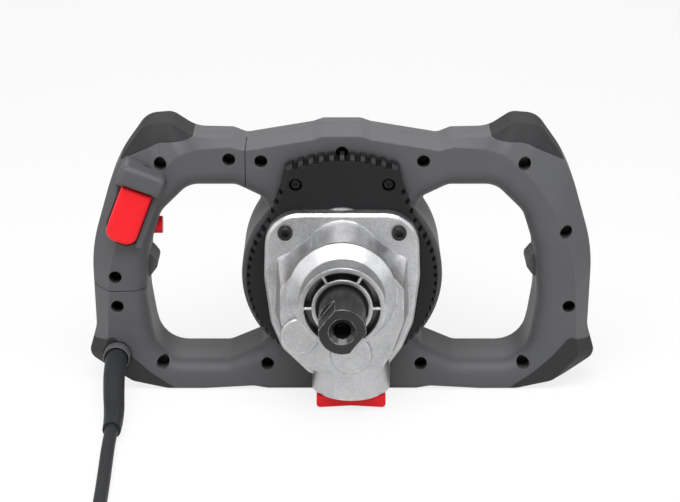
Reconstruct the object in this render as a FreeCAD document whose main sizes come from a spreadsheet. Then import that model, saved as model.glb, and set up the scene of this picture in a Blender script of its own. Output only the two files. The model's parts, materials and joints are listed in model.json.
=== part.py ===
"""Two-handed mixing drill: a loop-handle frame clamped round a motor, with a two-speed gearbox in front.

Frame of the part: X runs across the two grips, Y along the spindle with the tool end at -Y, Z up.
The part stands on the lower edge of its handle frame, and z = 0 is that floor. The handle shells
part on the plane y = 0. All lengths are in millimetres.
"""
import FreeCAD, Part
import math
import os
import Sketcher
from FreeCAD import Placement, Rotation, Vector

os.makedirs("parts", exist_ok=True)
doc = FreeCAD.newDocument("mixing_drill")

SIZES = {
    # Handle frame
    "frame_half_width": 175,
    "frame_height": 190,
    "front_depth": 32,
    "rear_depth": 20,
    "facet_depth": 17,
    "shell_wall": 3,
    "loop_front_round": 13,
    "loop_rear_round": 7,
    "hub_wall": 7,
    "axis_height": 86,
    "seam_gap": 0.4,
    "finger_ridge_depth": 24,
    "overrun": 1,
    "fit_gap": 0.3,
    "running_gap": 0.05,
    # Shell screws and their bosses
    "boss_radius": 6,
    "screw_well_radius": 4.4,
    "screw_well_depth": 14,
    "screw_head_radius": 3.6,
    "screw_head_height": 2.6,
    "screw_shank_radius": 1.9,
    "screw_grip": 12,
    # Vent plate
    "plate_rim_radius": 65.5,
    "plate_thickness": 12,
    "plate_bore_radius": 48,
    "plate_top": 89,
    "plate_ear_width": 41,
    "plate_ear_rise": 67,
    "plate_ear_foot": 52,
    "plate_ear_round": 9,
    "plate_bevel": 2.5,
    "rim_slot_width": 3,
    "rim_slot_depth": 2.4,
    "plate_arch_radius": 93,
    "rim_slot_pitch": 6,
    "arch_slot": 4,
    "arch_slots": 10,
    "arch_slot_pitch": 7,
    "plate_screw_spread": 31.4,
    "plate_screw_height": 68.4,
    "plate_screw_well": 4.6,
    # Gear case
    "flange_half_width": 52,
    "flange_top": 54,
    "flange_thickness": 10,
    "flange_bevel": 2,
    "case_body_length": 18,
    "case_body_radius": 37,
    "case_wall": 4,
    "nose_length": 25,
    "collar_radius": 28.8,
    "collar_bore": 25.4,
    "flare_length": 8,
    "nose_ring_radius": 20.3,
    "nose_bore": 17.6,
    "nose_recess": 12,
    "nose_rib_width": 1.6,
    "ridge_radius": 27,
    "ridge_top_rise": 53,
    "ridge_dip": 1,
    "layshaft_boss_radius": 13,
    "layshaft_boss_x": -28.9,
    "layshaft_boss_drop": 29.3,
    "oil_boss_radius": 14,
    "oil_boss_x": 6.2,
    "oil_boss_drop": 43.1,
    "face_boss_height": 3,
    "face_boss_bevel": 1,
    "selector_boss_radius": 27,
    "selector_boss_y": -47,
    "selector_boss_foot": 9,
    "selector_boss_bevel": 1,
    "case_screw_spread": 38.4,
    "case_screw_rise": 38.1,
    "case_screw_head_radius": 5,
    "case_screw_head_height": 4,
    "case_screw_shank_radius": 2.5,
    # Spindle and its bearings
    "spindle_radius": 15.5,
    "spindle_reach": 41,
    "spindle_seat_radius": 15,
    "spindle_core_radius": 12,
    "spindle_tail_radius": 8.5,
    "spindle_flat_depth": 2.6,
    "spindle_flat_length": 18,
    "spindle_flat_slope": 38,
    "socket_drill_radius": 6,
    "socket_depth": 24,
    "socket_mouth_radius": 9,
    "key_width": 4,
    "key_height": 2,
    "seal_recess": 1,
    "seal_length": 5,
    "front_bearing_set_back": 8,
    "front_bearing_radius": 23.5,
    "front_bearing_width": 9,
    "rear_bearing_radius": 15,
    "bearing_ring": 2.4,
    # Gear train
    "gear_module": 1.2,
    "gear_backlash": 0.24,
    "low_gear_width": 8,
    "high_gear_width": 7,
    "first_gear_width": 8,
    "gear_side_gap": 0.5,
    "layshaft_nose_wall": 1,
    "clutch_room": 12,
    "clutch_width": 6,
    "clutch_radius": 23,
    "clutch_groove_radius": 19.6,
    "clutch_groove_width": 3.2,
    "clutch_rest_gap": 0.5,
    "dog_height": 2.5,
    "dog_width": 5,
    "dog_inner_radius": 15.4,
    "dog_outer_radius": 18.6,
    "dog_gap": 0.4,
    "bracket_thickness": 7,
    "first_stage_gap": 2,
    "cover_gap": 2,
    "cover_thickness": 8,
    "layshaft_radius": 5.5,
    "layshaft_journal_radius": 3.5,
    "small_bearing_radius": 9.5,
    "small_bearing_width": 6,
    # Speed selector
    "knob_length": 47.5,
    "knob_width": 15,
    "knob_height": 8.5,
    "knob_ground_gap": 0.5,
    "knob_x": 6.2,
    "knob_stem_radius": 6,
    "knob_stem_length": 19,
    "knob_pin_radius": 2.2,
    "knob_pin_length": 5,
    "knob_pin_throw": 3.54,
    "fork_thickness": 2.6,
    "fork_radius": 26.5,
    "fork_foot_thickness": 3,
    "fork_foot_width": 20,
    "fork_slot_gap": 0.5,
    # Motor
    "motor_shaft_radius": 5,
    "housing_radius": 61.7,
    "housing_wall": 4,
    "housing_length": 117,
    "cap_length": 26,
    "cap_wall": 4,
    "fan_gap": 3,
    "fan_length": 14,
    "fan_rim_gap": 5.7,
    "fan_hub_radius": 14,
    "fan_plate": 2.5,
    "fan_blade": 2,
    "stator_gap": 13,
    "stator_length": 52,
    "stator_bore": 31,
    "air_gap": 0.6,
    "winding_length": 11,
    "winding_radius": 27,
    "commutator_gap": 2,
    "cap_bevel": 12,
    "cap_slot_width": 4,
    "field_coil_pole_gap": 2,
    "field_coil_yoke_gap": 1.15,
    "field_coil_overhang": 9,
    "commutator_length": 20,
    "commutator_radius": 18,
    "motor_front_bearing_radius": 13,
    "motor_rear_bearing_radius": 11,
    "motor_rear_journal": 4,
    "motor_bearing_width": 8,
    "brush_width": 8,
    "brush_depth": 12,
    "brush_length": 18,
    "brush_box_wall": 1.5,
    "spring_wire": 0.8,
    # Switch handle
    "trigger_width": 22,
    "trigger_length": 40,
    "trigger_proud": 9,
    "trigger_inside": 12,
    "trigger_tilt": 21,
    "trigger_gap": 0.6,
    "trigger_swing_gap": 3,
    "trigger_pin_radius": 1.5,
    "hood_height": 12,
    "hood_length": 15,
    "hood_side": 5,
    "switch_width": 18,
    "switch_length": 46,
    "lock_button_radius": 6,
    "lock_button_proud": 4,
    "lock_button_length": 12,
    # Mains lead
    "cord_radius": 4.5,
    "guard_radius": 7.5,
    "guard_collar_radius": 9.5,
    "guard_collar_length": 8,
    "lead_end_run": 20,
    "coil_turn_radius": 54,
    "coil_gap": 2.2,
    "coil_tail": 58,
    "tie_thickness": 1,
    "tie_width": 8,
    "tie_gap": 0.8,
    "plug_width": 36,
    "plug_length": 40,
    "plug_neck_radius": 8,
    "plug_neck_length": 14,
    "plug_pin_radius": 2.4,
    "plug_pin_length": 19,
    "plug_pin_spread": 19,
}

sizes = doc.addObject("Spreadsheet::Sheet", "sizes")
for row, (alias, value) in enumerate(SIZES.items(), start=1):
    sizes.set(f"A{row}", alias)
    sizes.set(f"B{row}", str(value))
    sizes.setAlias(f"B{row}", alias)
doc.recompute()

ALONG_Y = Rotation(Vector(1, 0, 0), -90)
ALONG_Z = Rotation()
nodes = {}


def worth(expression):
    """The value in millimetres of an expression on the size sheet."""
    return float(sizes.evalExpression(expression))


def put(item, at, turn=ALONG_Z):
    """Bind an object's place to three expressions and give it a fixed direction."""
    item.Placement = Placement(Vector(*[worth(part) for part in at]), turn)
    for axis, part in zip("xyz", at):
        item.setExpression(f"Placement.Base.{axis}", part)
    return item


def bound(item, **expressions):
    """Bind properties of an object to expressions on the size sheet."""
    for field, expression in expressions.items():
        item.setExpression(field, expression)
    return item


def rod(name, at, radius, length, turn=ALONG_Y):
    item = doc.addObject("Part::Cylinder", name)
    bound(item, Radius=radius, Height=length)
    return put(item, at, turn)


def joined(name, *items):
    item = doc.addObject("Part::MultiFuse", name)
    item.Shapes = list(items)
    return item


def taken(name, base, *tools):
    """The base with every tool cut away."""
    item = doc.addObject("Part::Cut", name)
    item.Base = base
    item.Tool = tools[0] if len(tools) == 1 else joined(name + "_tools", *tools)
    return item


def shaped(name, shape):
    """An object that holds a shape worked out here."""
    item = doc.addObject("Part::Feature", name)
    item.Shape = shape
    return item


def node(label, item):
    """Register an object as a finished piece of the drill."""
    item.Label = label
    nodes[label] = item
    return item


def sketched(body, name, plane_role, corners):
    """A closed sketch of straight lines whose corners are bound to pairs of expressions."""
    sketch = body.newObject("Sketcher::SketchObject", name)
    plane = next(item for item in body.Origin.OriginFeatures if item.Role == plane_role)
    sketch.AttachmentSupport = [(plane, "")]
    sketch.MapMode = "FlatFace"
    places = [Vector(worth(across), worth(along), 0) for across, along in corners]
    count = len(places)
    for index, place in enumerate(places):
        sketch.addGeometry(Part.LineSegment(place, places[(index + 1) % count]), False)
    for index in range(count):
        sketch.addConstraint(Sketcher.Constraint("Coincident", index, 2, (index + 1) % count, 1))
    for index, (corner, place) in enumerate(zip(corners, places)):
        for kind, axis, expression, value in (
            ("DistanceX", -2, corner[0], place.x),
            ("DistanceY", -1, corner[1], place.y),
        ):
            if expression == "0":
                sketch.addConstraint(Sketcher.Constraint("PointOnObject", index, 1, axis))
            else:
                number = sketch.addConstraint(Sketcher.Constraint(kind, -1, 1, index, 1, value))
                sketch.setExpression(f"Constraints[{number}]", expression)
    return sketch


def turned(name, corners, at=("0", "0", "sizes.axis_height"), turn=ALONG_Z):
    """A turned piece: corners are (radius, place along Y) pairs, spun about the piece's own Y axis."""
    body = doc.addObject("PartDesign::Body", name)
    sketch = sketched(body, name + "_profile", "XY_Plane", corners)
    spin = body.newObject("PartDesign::Revolution", name + "_spin")
    spin.Profile = sketch
    spin.ReferenceAxis = (sketch, ["V_Axis"])
    spin.Angle = 360
    return put(body, at, turn)


def ring(name, inner, outer, start, end, at=("0", "0", "sizes.axis_height"), turn=ALONG_Z):
    """A plain turned ring between two places along Y."""
    corners = [(inner, start), (outer, start), (outer, end), (inner, end)]
    return turned(name, corners, at, turn)


def rounded_wire(points, depth):
    """Closed wire in the plane y = depth through corners (x, z, radius), each corner rounded."""
    arcs = []
    count = len(points)
    for index, (x, z, radius) in enumerate(points):
        here = Vector(x, depth, z)
        before = Vector(points[index - 1][0], depth, points[index - 1][1]) - here
        after = Vector(points[(index + 1) % count][0], depth, points[(index + 1) % count][1]) - here
        before.normalize()
        after.normalize()
        half_angle = before.getAngle(after) / 2
        reach = radius / math.tan(half_angle)
        inward = (before + after).normalize()
        middle = here + inward * (radius / math.sin(half_angle) - radius)
        arcs.append((here + before * reach, middle, here + after * reach))
    edges = []
    for index, (start, middle, end) in enumerate(arcs):
        edges.append(Part.LineSegment(arcs[index - 1][2], start).toShape())
        edges.append(Part.Arc(start, middle, end).toShape())
    return Part.Wire(edges)


def slab(points, start, end):
    """A prism with a rounded outline, from y = start to y = end."""
    return Part.Face(rounded_wire(points, start)).extrude(Vector(0, end - start, 0))


def bar(x, z, radius, start, end):
    """A round bar along Y, from y = start to y = end."""
    return Part.makeCylinder(radius, end - start, Vector(x, start, z), Vector(0, 1, 0))


# Handle frame: outline, loops and shells

# Corners of the right half of the outline, from the top centre down the grip to the foot: the place
# and the rounding of the side wall, then the place of the crease on the front face, as shares of the
# half width (across) and of the height (up, and roundings).
OUTLINE_SHARES = [
    (0.074, 0.974, 0.040, 0.074, 0.974),
    (0.114, 0.961, 0.030, 0.114, 0.961),
    (0.377, 0.920, 0.040, 0.377, 0.920),
    (0.429, 0.940, 0.040, 0.434, 0.934),
    (0.577, 0.943, 0.125, 0.563, 0.926),
    (0.669, 1.000, 0.060, 0.631, 0.904),
    (0.771, 0.992, 0.080, 0.711, 0.838),
    (0.894, 0.833, 0.500, 0.810, 0.725),
    (0.992, 0.527, 0.600, 0.912, 0.527),
    (0.986, 0.221, 0.100, 0.930, 0.230),
    (1.022, 0.105, 0.045, 0.945, 0.134),
    (0.886, 0.014, 0.060, 0.848, 0.034),
    (0.720, 0.000, 0.100, 0.700, 0.003),
    (0.550, 0.000, 0.150, 0.550, 0.003),
    (0.354, 0.012, 0.075, 0.354, 0.013),
    (0.297, 0.002, 0.050, 0.297, 0.004),
]
# Corners of the right hand opening. Its inner side lies under the round hub, which closes it.
LOOP_SHARES = [
    (0.415, 0.779, 0.060),
    (0.599, 0.779, 0.090),
    (0.711, 0.676, 0.100),
    (0.761, 0.532, 0.150),
    (0.777, 0.347, 0.300),
    (0.757, 0.221, 0.150),
    (0.728, 0.101, 0.115),
    (0.455, 0.101, 0.060),
    (0.325, 0.153, 0.030),
    (0.297, 0.190, 0.020),
    (0.297, 0.700, 0.020),
    (0.318, 0.735, 0.030),
]
# Corners of the ridge between the first two fingers on each grip.
RIDGE_SHARES = [
    (0.800, 0.510, 0.010),
    (0.758, 0.497, 0.020),
    (0.734, 0.468, 0.020),
    (0.734, 0.450, 0.020),
    (0.762, 0.415, 0.020),
    (0.800, 0.405, 0.010),
]
# Places of the shell screws.
SCREW_SHARES = [
    (-0.705, 0.867), (-0.438, 0.888), (-0.314, 0.881), (0.000, 0.913), (0.315, 0.881),
    (0.708, 0.867), (0.878, 0.610), (0.899, 0.326), (0.725, 0.099), (0.314, 0.099),
    (-0.297, 0.100), (-0.717, 0.099), (-0.890, 0.326), (-0.894, 0.440),
]
# Inner edges of the rubber corner bumpers, and how far past the outline their cutting shapes reach.
TOP_BUMPER_SHARES = [(0.577, 0.950, 0.01), (0.714, 0.935, 0.1), (0.903, 0.845, 0.1), (1.2, 0.6, 0.01),
                     (1.2, 1.2, 0.01), (0.577, 1.2, 0.01)]
FOOT_BUMPER_SHARES = [(0.650, -0.010, 0.01), (0.768, 0.067, 0.1), (0.843, 0.133, 0.1), (0.908, 0.207, 0.02),
                      (0.982, 0.178, 0.02), (1.2, 0.178, 0.01), (1.2, -0.2, 0.01), (0.650, -0.2, 0.01)]

half_width = sizes.frame_half_width
height = sizes.frame_height
front = -sizes.front_depth
rear = sizes.rear_depth
wall = sizes.shell_wall
overrun = sizes.overrun
motor_bore = sizes.housing_radius + sizes.fit_gap
hub_radius = motor_bore + sizes.hub_wall


def scaled(rows, side=1):
    """Corners in millimetres from rows of shares, on the right (1) or the left (-1) side."""
    return [(side * x * half_width, z * height, radius * height) for x, z, radius in rows]


def mirrored_ring(rows):
    """A whole outline from the corners of its right half."""
    right = scaled(rows)
    left = [(-x, z, radius) for x, z, radius in reversed(right)]
    return right + left


side_outline = mirrored_ring([(row[0], row[1], row[2]) for row in OUTLINE_SHARES])
crease_outline = mirrored_ring([(row[3], row[4], row[2]) for row in OUTLINE_SHARES])
facet_start = front + sizes.facet_depth


def inner_edges(shape, depth):
    """The edges round the openings of a shape's flat face at y = depth."""
    faces = [face for face in shape.Faces if abs(face.CenterOfMass.y - depth) < sizes.running_gap]
    face = max(faces, key=lambda item: item.Area)
    wires = [wire for wire in face.Wires if not wire.isSame(face.OuterWire)]
    return [edge for wire in wires for edge in wire.Edges]


def outer_edges(shape, depth):
    """The edges round the outside of a shape's flat face at y = depth."""
    faces = [face for face in shape.Faces if abs(face.CenterOfMass.y - depth) < sizes.running_gap]
    return max(faces, key=lambda item: item.Area).OuterWire.Edges


def frame_block():
    """The whole handle frame as one block: creased in front, rounded round its openings."""
    creased = Part.makeLoft(
        [rounded_wire(side_outline, facet_start), rounded_wire(crease_outline, front)], True, True
    )
    whole = slab(side_outline, facet_start, rear).fuse(creased).removeSplitter()
    for side in (1, -1):
        whole = whole.cut(slab(scaled(LOOP_SHARES, side), front - overrun, rear + overrun))
    whole = whole.makeFillet(sizes.loop_front_round, inner_edges(whole, front))
    whole = whole.makeFillet(sizes.loop_rear_round, inner_edges(whole, rear) + outer_edges(whole, rear))
    whole = whole.fuse(bar(0, sizes.axis_height, hub_radius, front, rear))
    ridge_reach = sizes.finger_ridge_depth / 2
    for side in (1, -1):
        whole = whole.fuse(slab(scaled(RIDGE_SHARES, side), facet_start, facet_start + 2 * ridge_reach))
    return whole


frame_solid = frame_block()


def grown(points, depth, outset):
    """A flat face at y = depth, the outline grown by outset, or shrunk where that is negative."""
    return Part.Face(rounded_wire(points, depth)).makeOffset2D(outset)


def room(outline, outline_inset, loop_outset, start, end):
    """Hollow inside the frame between two depths, clear of its side walls, openings and hub."""
    hollow = grown(outline, start, -outline_inset).extrude(Vector(0, end - start, 0))
    for side in (1, -1):
        opening = grown(scaled(LOOP_SHARES, side), start, loop_outset)
        hollow = hollow.cut(opening.extrude(Vector(0, end - start, 0)))
    return hollow.cut(bar(0, sizes.axis_height, hub_radius, start, end))


half_space_reach = 2 * half_width
deep_start = front + wall + overrun
rear_inset = sizes.loop_rear_round + wall
room_rear = rear - wall
frame_room = room(crease_outline, wall, sizes.loop_front_round + overrun, deep_start, facet_start)
frame_room = frame_room.fuse(room(side_outline, wall, wall, facet_start, 0))
frame_room = frame_room.fuse(room(side_outline, rear_inset, rear_inset, 0, room_rear))

screw_places = [(x * half_width, z * height) for x, z in SCREW_SHARES]
screw_seat = front + sizes.screw_well_depth
screw_tip = sizes.screw_grip - sizes.seam_gap


def at_screws(radius, start, end):
    """Round bars at every shell screw, as one shape."""
    return Part.makeCompound([bar(x, z, radius, start, end) for x, z in screw_places])


def plate_screw_holes():
    """Holes in the frame's front wall for the screws of the vent plate."""
    radius = sizes.screw_shank_radius + sizes.running_gap
    z = sizes.axis_height + sizes.plate_screw_height
    return Part.makeCompound([
        bar(side * sizes.plate_screw_spread, z, radius, front - overrun, deep_start) for side in (1, -1)
    ])


def hollow_frame():
    """The frame hollowed out, with a boss round every shell screw and the bore for the motor."""
    bosses = at_screws(sizes.boss_radius, deep_start, room_rear)
    shell = frame_solid.cut(frame_room.cut(bosses))
    for cutter in (
        at_screws(sizes.screw_well_radius, front - overrun, screw_seat),
        at_screws(sizes.screw_shank_radius + sizes.running_gap, screw_seat - overrun, screw_tip + overrun),
        bar(0, sizes.axis_height, motor_bore, front - overrun, rear + overrun),
        plate_screw_holes(),
    ):
        shell = shell.cut(cutter)
    return shell


def y_slice(start, end):
    """A block that holds all of the frame between two depths."""
    corner = Vector(-half_space_reach, start, -half_space_reach)
    return Part.makeBox(2 * half_space_reach, end - start, 2 * half_space_reach, corner)


# The seams of the switch handle cover: across the top bar, across the grip, and where they step over
# the hand opening.
SEAM_SHARES = (0.376, 0.386)
SEAM_STEP_SHARES = (0.571, 0.610)
seam_x = SEAM_SHARES[0] * half_width
seam_z = SEAM_SHARES[1] * height
step_x = SEAM_STEP_SHARES[0] * half_width
step_z = SEAM_STEP_SHARES[1] * height


def cover_zone(gap):
    """The upper left corner of the frame, past the seams by gap."""
    upper = Part.makeBox(
        half_space_reach, -2 * front, half_space_reach,
        Vector(-seam_x + gap - half_space_reach, 2 * front, step_z),
    )
    lower = Part.makeBox(
        half_space_reach, -2 * front, half_space_reach,
        Vector(-step_x - half_space_reach, 2 * front, seam_z - gap),
    )
    return upper.fuse(lower)


# Switch handle: everything here lies in a frame tilted with the left grip, its origin at the top of
# the trigger, its -Z running down the trigger.

TRIGGER_SHARES = [(0.5, 0, 0.05), (0.5, -1, 0.36), (-0.5, -1, 0.36), (-0.5, 0, 0.05)]
# Place of the trigger's top on the left grip.
TRIGGER_TOP_SHARES = (-0.791, 0.784)
trigger_pin_drop = 2 * sizes.trigger_pin_radius
trigger_pin_depth = front + 2 * sizes.trigger_pin_radius
grip_place = Placement(
    Vector(TRIGGER_TOP_SHARES[0] * half_width, 0, TRIGGER_TOP_SHARES[1] * height),
    Rotation(Vector(0, 1, 0), sizes.trigger_tilt),
)


def on_grip(shape):
    """Move a shape from the tilted grip frame to its place in the part."""
    moved = shape.copy()
    moved.Placement = grip_place.multiply(moved.Placement)
    return moved


def trigger_outline(gap_across, gap_along):
    width = sizes.trigger_width + 2 * gap_across
    length = sizes.trigger_length + gap_along
    return [(x * width, z * length, radius * width) for x, z, radius in TRIGGER_SHARES]


def trigger_shape():
    """The trigger paddle, rounded in front, with its pivot hole."""
    paddle = slab(trigger_outline(0, 0), front - sizes.trigger_proud, front + sizes.trigger_inside)
    paddle = paddle.makeFillet(sizes.trigger_proud / 3, outer_edges(paddle, front - sizes.trigger_proud))
    pivot = Part.makeCylinder(
        sizes.trigger_pin_radius + sizes.running_gap, sizes.trigger_width + 2 * overrun,
        Vector(-sizes.trigger_width / 2 - overrun, trigger_pin_depth, -trigger_pin_drop), Vector(1, 0, 0),
    )
    return on_grip(paddle.cut(pivot))


def trigger_pocket():
    """The hole in the grip that the trigger swings in."""
    outline = trigger_outline(sizes.trigger_gap, sizes.trigger_swing_gap)
    outline = [(x, z if z < 0 else z + sizes.trigger_swing_gap / 2, radius) for x, z, radius in outline]
    return on_grip(slab(outline, 2 * front, front + sizes.trigger_inside + 2 * sizes.trigger_swing_gap))


def pin_bar(gap):
    """The trigger's pivot pin, or with a gap the seat for it in the cover."""
    length = sizes.trigger_width + sizes.hood_side
    start = Vector(-length / 2, trigger_pin_depth, -trigger_pin_drop)
    return on_grip(Part.makeCylinder(sizes.trigger_pin_radius + gap, length, start, Vector(1, 0, 0)))


switch_start = -wall / 3


def switch_block(gap):
    """The switch, or with a gap the pocket for it in the rear shell."""
    half = sizes.switch_width / 2 + gap
    low = -sizes.switch_length - gap
    corners = [(half, gap), (half, low), (-half, low), (-half, gap)]
    return on_grip(slab([(x, z, wall) for x, z in corners], switch_start, room_rear))


def hood_shape():
    """The hood over the top of the trigger, its back and left cheek, and the rib on its right."""
    reach = sizes.trigger_width / 2 + sizes.hood_side
    top = sizes.hood_length
    hood_round = sizes.hood_side
    hood = slab(
        [(reach, top, hood_round), (reach, 0, hood_round / 2),
         (-reach, 0, hood_round / 2), (-reach, top, hood_round)],
        front - sizes.hood_height, front + wall,
    )
    hood = hood.makeFillet(sizes.hood_height / 3, outer_edges(hood, front - sizes.hood_height))
    rib_inner = sizes.trigger_width / 2 + sizes.trigger_gap
    rib = slab(
        [(reach, top / 2, hood_round / 4), (reach, -sizes.trigger_length, hood_round / 4),
         (rib_inner, -sizes.trigger_length, hood_round / 4), (rib_inner, top / 2, hood_round / 4)],
        front - sizes.hood_height / 3, front + wall,
    )
    back = slab(
        [(0, top, wall), (0, 0, wall), (-reach, 0, wall), (-reach, top, hood_round)], front, facet_start
    )
    # The cheek runs out down the side of the trigger and holds the left end of its pin.
    cheek = slab(
        [(-rib_inner, top / 2, hood_round / 4), (-rib_inner, -4 * trigger_pin_drop, hood_round / 8),
         (-reach, 0, hood_round / 4), (-reach, top / 2, hood_round / 4)],
        front, facet_start,
    )
    return on_grip(hood.fuse([rib, back, cheek]))


# Where the lock button comes through the inner wall of the grip.
LOCK_BUTTON_SHARES = (0.735, 0.602)
lock_button_x = LOCK_BUTTON_SHARES[0] * half_width
lock_button_z = LOCK_BUTTON_SHARES[1] * height
lock_button_y = -sizes.lock_button_radius - wall
lock_button_tip = sizes.lock_button_proud - lock_button_x


def lock_bar(radius, start, end):
    """A round bar along X on the lock button's axis."""
    return Part.makeCylinder(
        radius, end - start, Vector(start, lock_button_y, lock_button_z), Vector(1, 0, 0)
    )


lock_hole = lock_bar(
    sizes.lock_button_radius + sizes.fit_gap, lock_button_tip - sizes.lock_button_length - 2 * wall,
    lock_button_tip + wall,
)

# Cord exit: the guard leaves the left foot of the frame forwards.

GUARD_SHARES = (-0.897, 0.137)
guard_x = GUARD_SHARES[0] * half_width
guard_z = GUARD_SHARES[1] * height
guard_start = facet_start
guard_hole = bar(guard_x, guard_z, sizes.guard_collar_radius + sizes.fit_gap, 2 * front, guard_start)

# Frame pieces

hollow = hollow_frame()
bumper_zones = {
    "top_right_bumper": slab(scaled(TOP_BUMPER_SHARES), 2 * front, 2 * rear),
    "top_left_bumper": slab(scaled(TOP_BUMPER_SHARES, -1), 2 * front, 2 * rear),
    "foot_right_bumper": slab(scaled(FOOT_BUMPER_SHARES), 2 * front, 2 * rear),
    "foot_left_bumper": slab(scaled(FOOT_BUMPER_SHARES, -1), 2 * front, 2 * rear),
}
for label, zone in bumper_zones.items():
    bumper = frame_solid.common(zone)
    if label == "foot_left_bumper":
        bumper = bumper.cut(guard_hole)
    node(label, shaped(label, bumper.removeSplitter()))
    hollow = hollow.cut(zone)

front_half = hollow.common(y_slice(2 * front, 0)).cut(guard_hole)
hood = hood_shape().cut(frame_solid.common(bumper_zones["top_left_bumper"]))
cover = front_half.common(cover_zone(0)).fuse(hood)
for cutter in (trigger_pocket(), pin_bar(sizes.running_gap), lock_hole):
    cover = cover.cut(cutter)
node("switch_handle_cover", shaped("switch_handle_cover", cover.removeSplitter()))
node("front_shell", shaped("front_shell", front_half.cut(cover_zone(sizes.seam_gap)).removeSplitter()))
rear_half = hollow.common(y_slice(0, 2 * rear)).cut(switch_block(sizes.fit_gap))
node("rear_shell", shaped("rear_shell", rear_half.removeSplitter()))

# Cross slot of a screw head: width as a share of the head's radius, depth as a share of its height.
SLOT_SHARES = (0.3, 0.55)


def cross_screw(head_radius, head_height, shank_radius, shank_length):
    """A pan-head cross screw along Y, its head seated on y = 0 and facing -Y."""
    screw = bar(0, 0, head_radius, -head_height, 0).fuse(bar(0, 0, shank_radius, 0, shank_length))
    slot_width = head_radius * SLOT_SHARES[0]
    for long_side, short_side in ((head_radius, slot_width), (slot_width, head_radius)):
        screw = screw.cut(Part.makeBox(
            long_side, head_height * SLOT_SHARES[1], short_side,
            Vector(-long_side / 2, -head_height, -short_side / 2),
        ))
    return screw


def screw_set(label, screw, places):
    """One node of equal screws; places are (x, y, z)."""
    copies = []
    for place in places:
        copy = screw.copy()
        copy.translate(Vector(*place))
        copies.append(copy)
    return node(label, shaped(label, Part.makeCompound(copies)))


shell_screw = cross_screw(
    sizes.screw_head_radius, sizes.screw_head_height, sizes.screw_shank_radius, screw_tip - screw_seat
)
screw_set("shell_screws", shell_screw, [(x, screw_seat, z) for x, z in screw_places])

node("trigger", shaped("trigger", trigger_shape()))
node("trigger_pin", shaped("trigger_pin", pin_bar(0)))
node("switch_body", shaped("switch_body", switch_block(0)))
lock_button = lock_bar(
    sizes.lock_button_radius, lock_button_tip - sizes.lock_button_length, lock_button_tip
)
node("lock_button", shaped("lock_button", lock_button))

# Places along the spindle axis, worked out from the lengths of the pieces

PLATE_FRONT = "(-sizes.front_depth - sizes.plate_thickness)"
FLANGE_FRONT = f"({PLATE_FRONT} - sizes.flange_thickness)"
CASE_FRONT = f"({FLANGE_FRONT} - sizes.case_body_length)"
NOSE_FRONT = f"({CASE_FRONT} - sizes.nose_length)"
SPINDLE_TIP = f"({NOSE_FRONT} - sizes.spindle_reach)"
SEAL_FRONT = f"({NOSE_FRONT} + sizes.seal_recess)"
SEAL_REAR = f"({SEAL_FRONT} + sizes.seal_length)"
NOSE_BEARING_FRONT = f"({SEAL_REAR} + sizes.front_bearing_set_back)"
NOSE_BEARING_REAR = f"({NOSE_BEARING_FRONT} + sizes.front_bearing_width)"
LAY_BEARING_FRONT = f"({CASE_FRONT} + sizes.layshaft_nose_wall)"
LAY_BEARING_REAR = f"({LAY_BEARING_FRONT} + sizes.small_bearing_width)"
LOW_FRONT = f"({LAY_BEARING_REAR} + sizes.gear_side_gap)"
LOW_REAR = f"({LOW_FRONT} + sizes.low_gear_width)"
CLUTCH_FRONT = f"({LOW_REAR} + sizes.clutch_rest_gap)"
CLUTCH_REAR = f"({CLUTCH_FRONT} + sizes.clutch_width)"
HIGH_FRONT = f"({LOW_REAR} + sizes.clutch_room)"
HIGH_REAR = f"({HIGH_FRONT} + sizes.high_gear_width)"
BRACKET_FRONT = "(-sizes.front_depth)"
BRACKET_REAR = f"({BRACKET_FRONT} + sizes.bracket_thickness)"
FIRST_FRONT = f"({BRACKET_REAR} + sizes.first_stage_gap)"
FIRST_REAR = f"({FIRST_FRONT} + sizes.first_gear_width)"
COVER_FRONT = f"({FIRST_REAR} + sizes.cover_gap)"
COVER_REAR = f"({COVER_FRONT} + sizes.cover_thickness)"
HOUSING_REAR = f"({COVER_REAR} + sizes.housing_length)"
CAP_REAR = f"({HOUSING_REAR} + sizes.cap_length)"

axis_z = sizes.axis_height
plate_front = worth(PLATE_FRONT)
flange_front = worth(FLANGE_FRONT)
case_front = worth(CASE_FRONT)
nose_front = worth(NOSE_FRONT)

# Gear teeth
MOTOR_PINION_TEETH = 12
FIRST_GEAR_TEETH = 43
LOW_PINION_TEETH = 12
LOW_GEAR_TEETH = 43
HIGH_PINION_TEETH = 19
HIGH_GEAR_TEETH = 36
PRESSURE_ANGLE = math.radians(25)
ADDENDUM_SHARE = 0.9
DEDENDUM_SHARE = 1.2
# The layshaft lies below and to the left of the spindle.
LAYSHAFT_DIRECTION = math.radians(225)
AXIS_DIRECTION = LAYSHAFT_DIRECTION - math.pi
shaft_distance = sizes.gear_module * (MOTOR_PINION_TEETH + FIRST_GEAR_TEETH) / 2
layshaft_x = shaft_distance * math.cos(LAYSHAFT_DIRECTION)
layshaft_z = axis_z + shaft_distance * math.sin(LAYSHAFT_DIRECTION)
LAYSHAFT_SPAN = f"(sizes.gear_module * {(MOTOR_PINION_TEETH + FIRST_GEAR_TEETH) / 2})"
LAYSHAFT_AT = (f"{LAYSHAFT_SPAN} * cos(225)", "0", f"sizes.axis_height + {LAYSHAFT_SPAN} * sin(225)")


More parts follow.
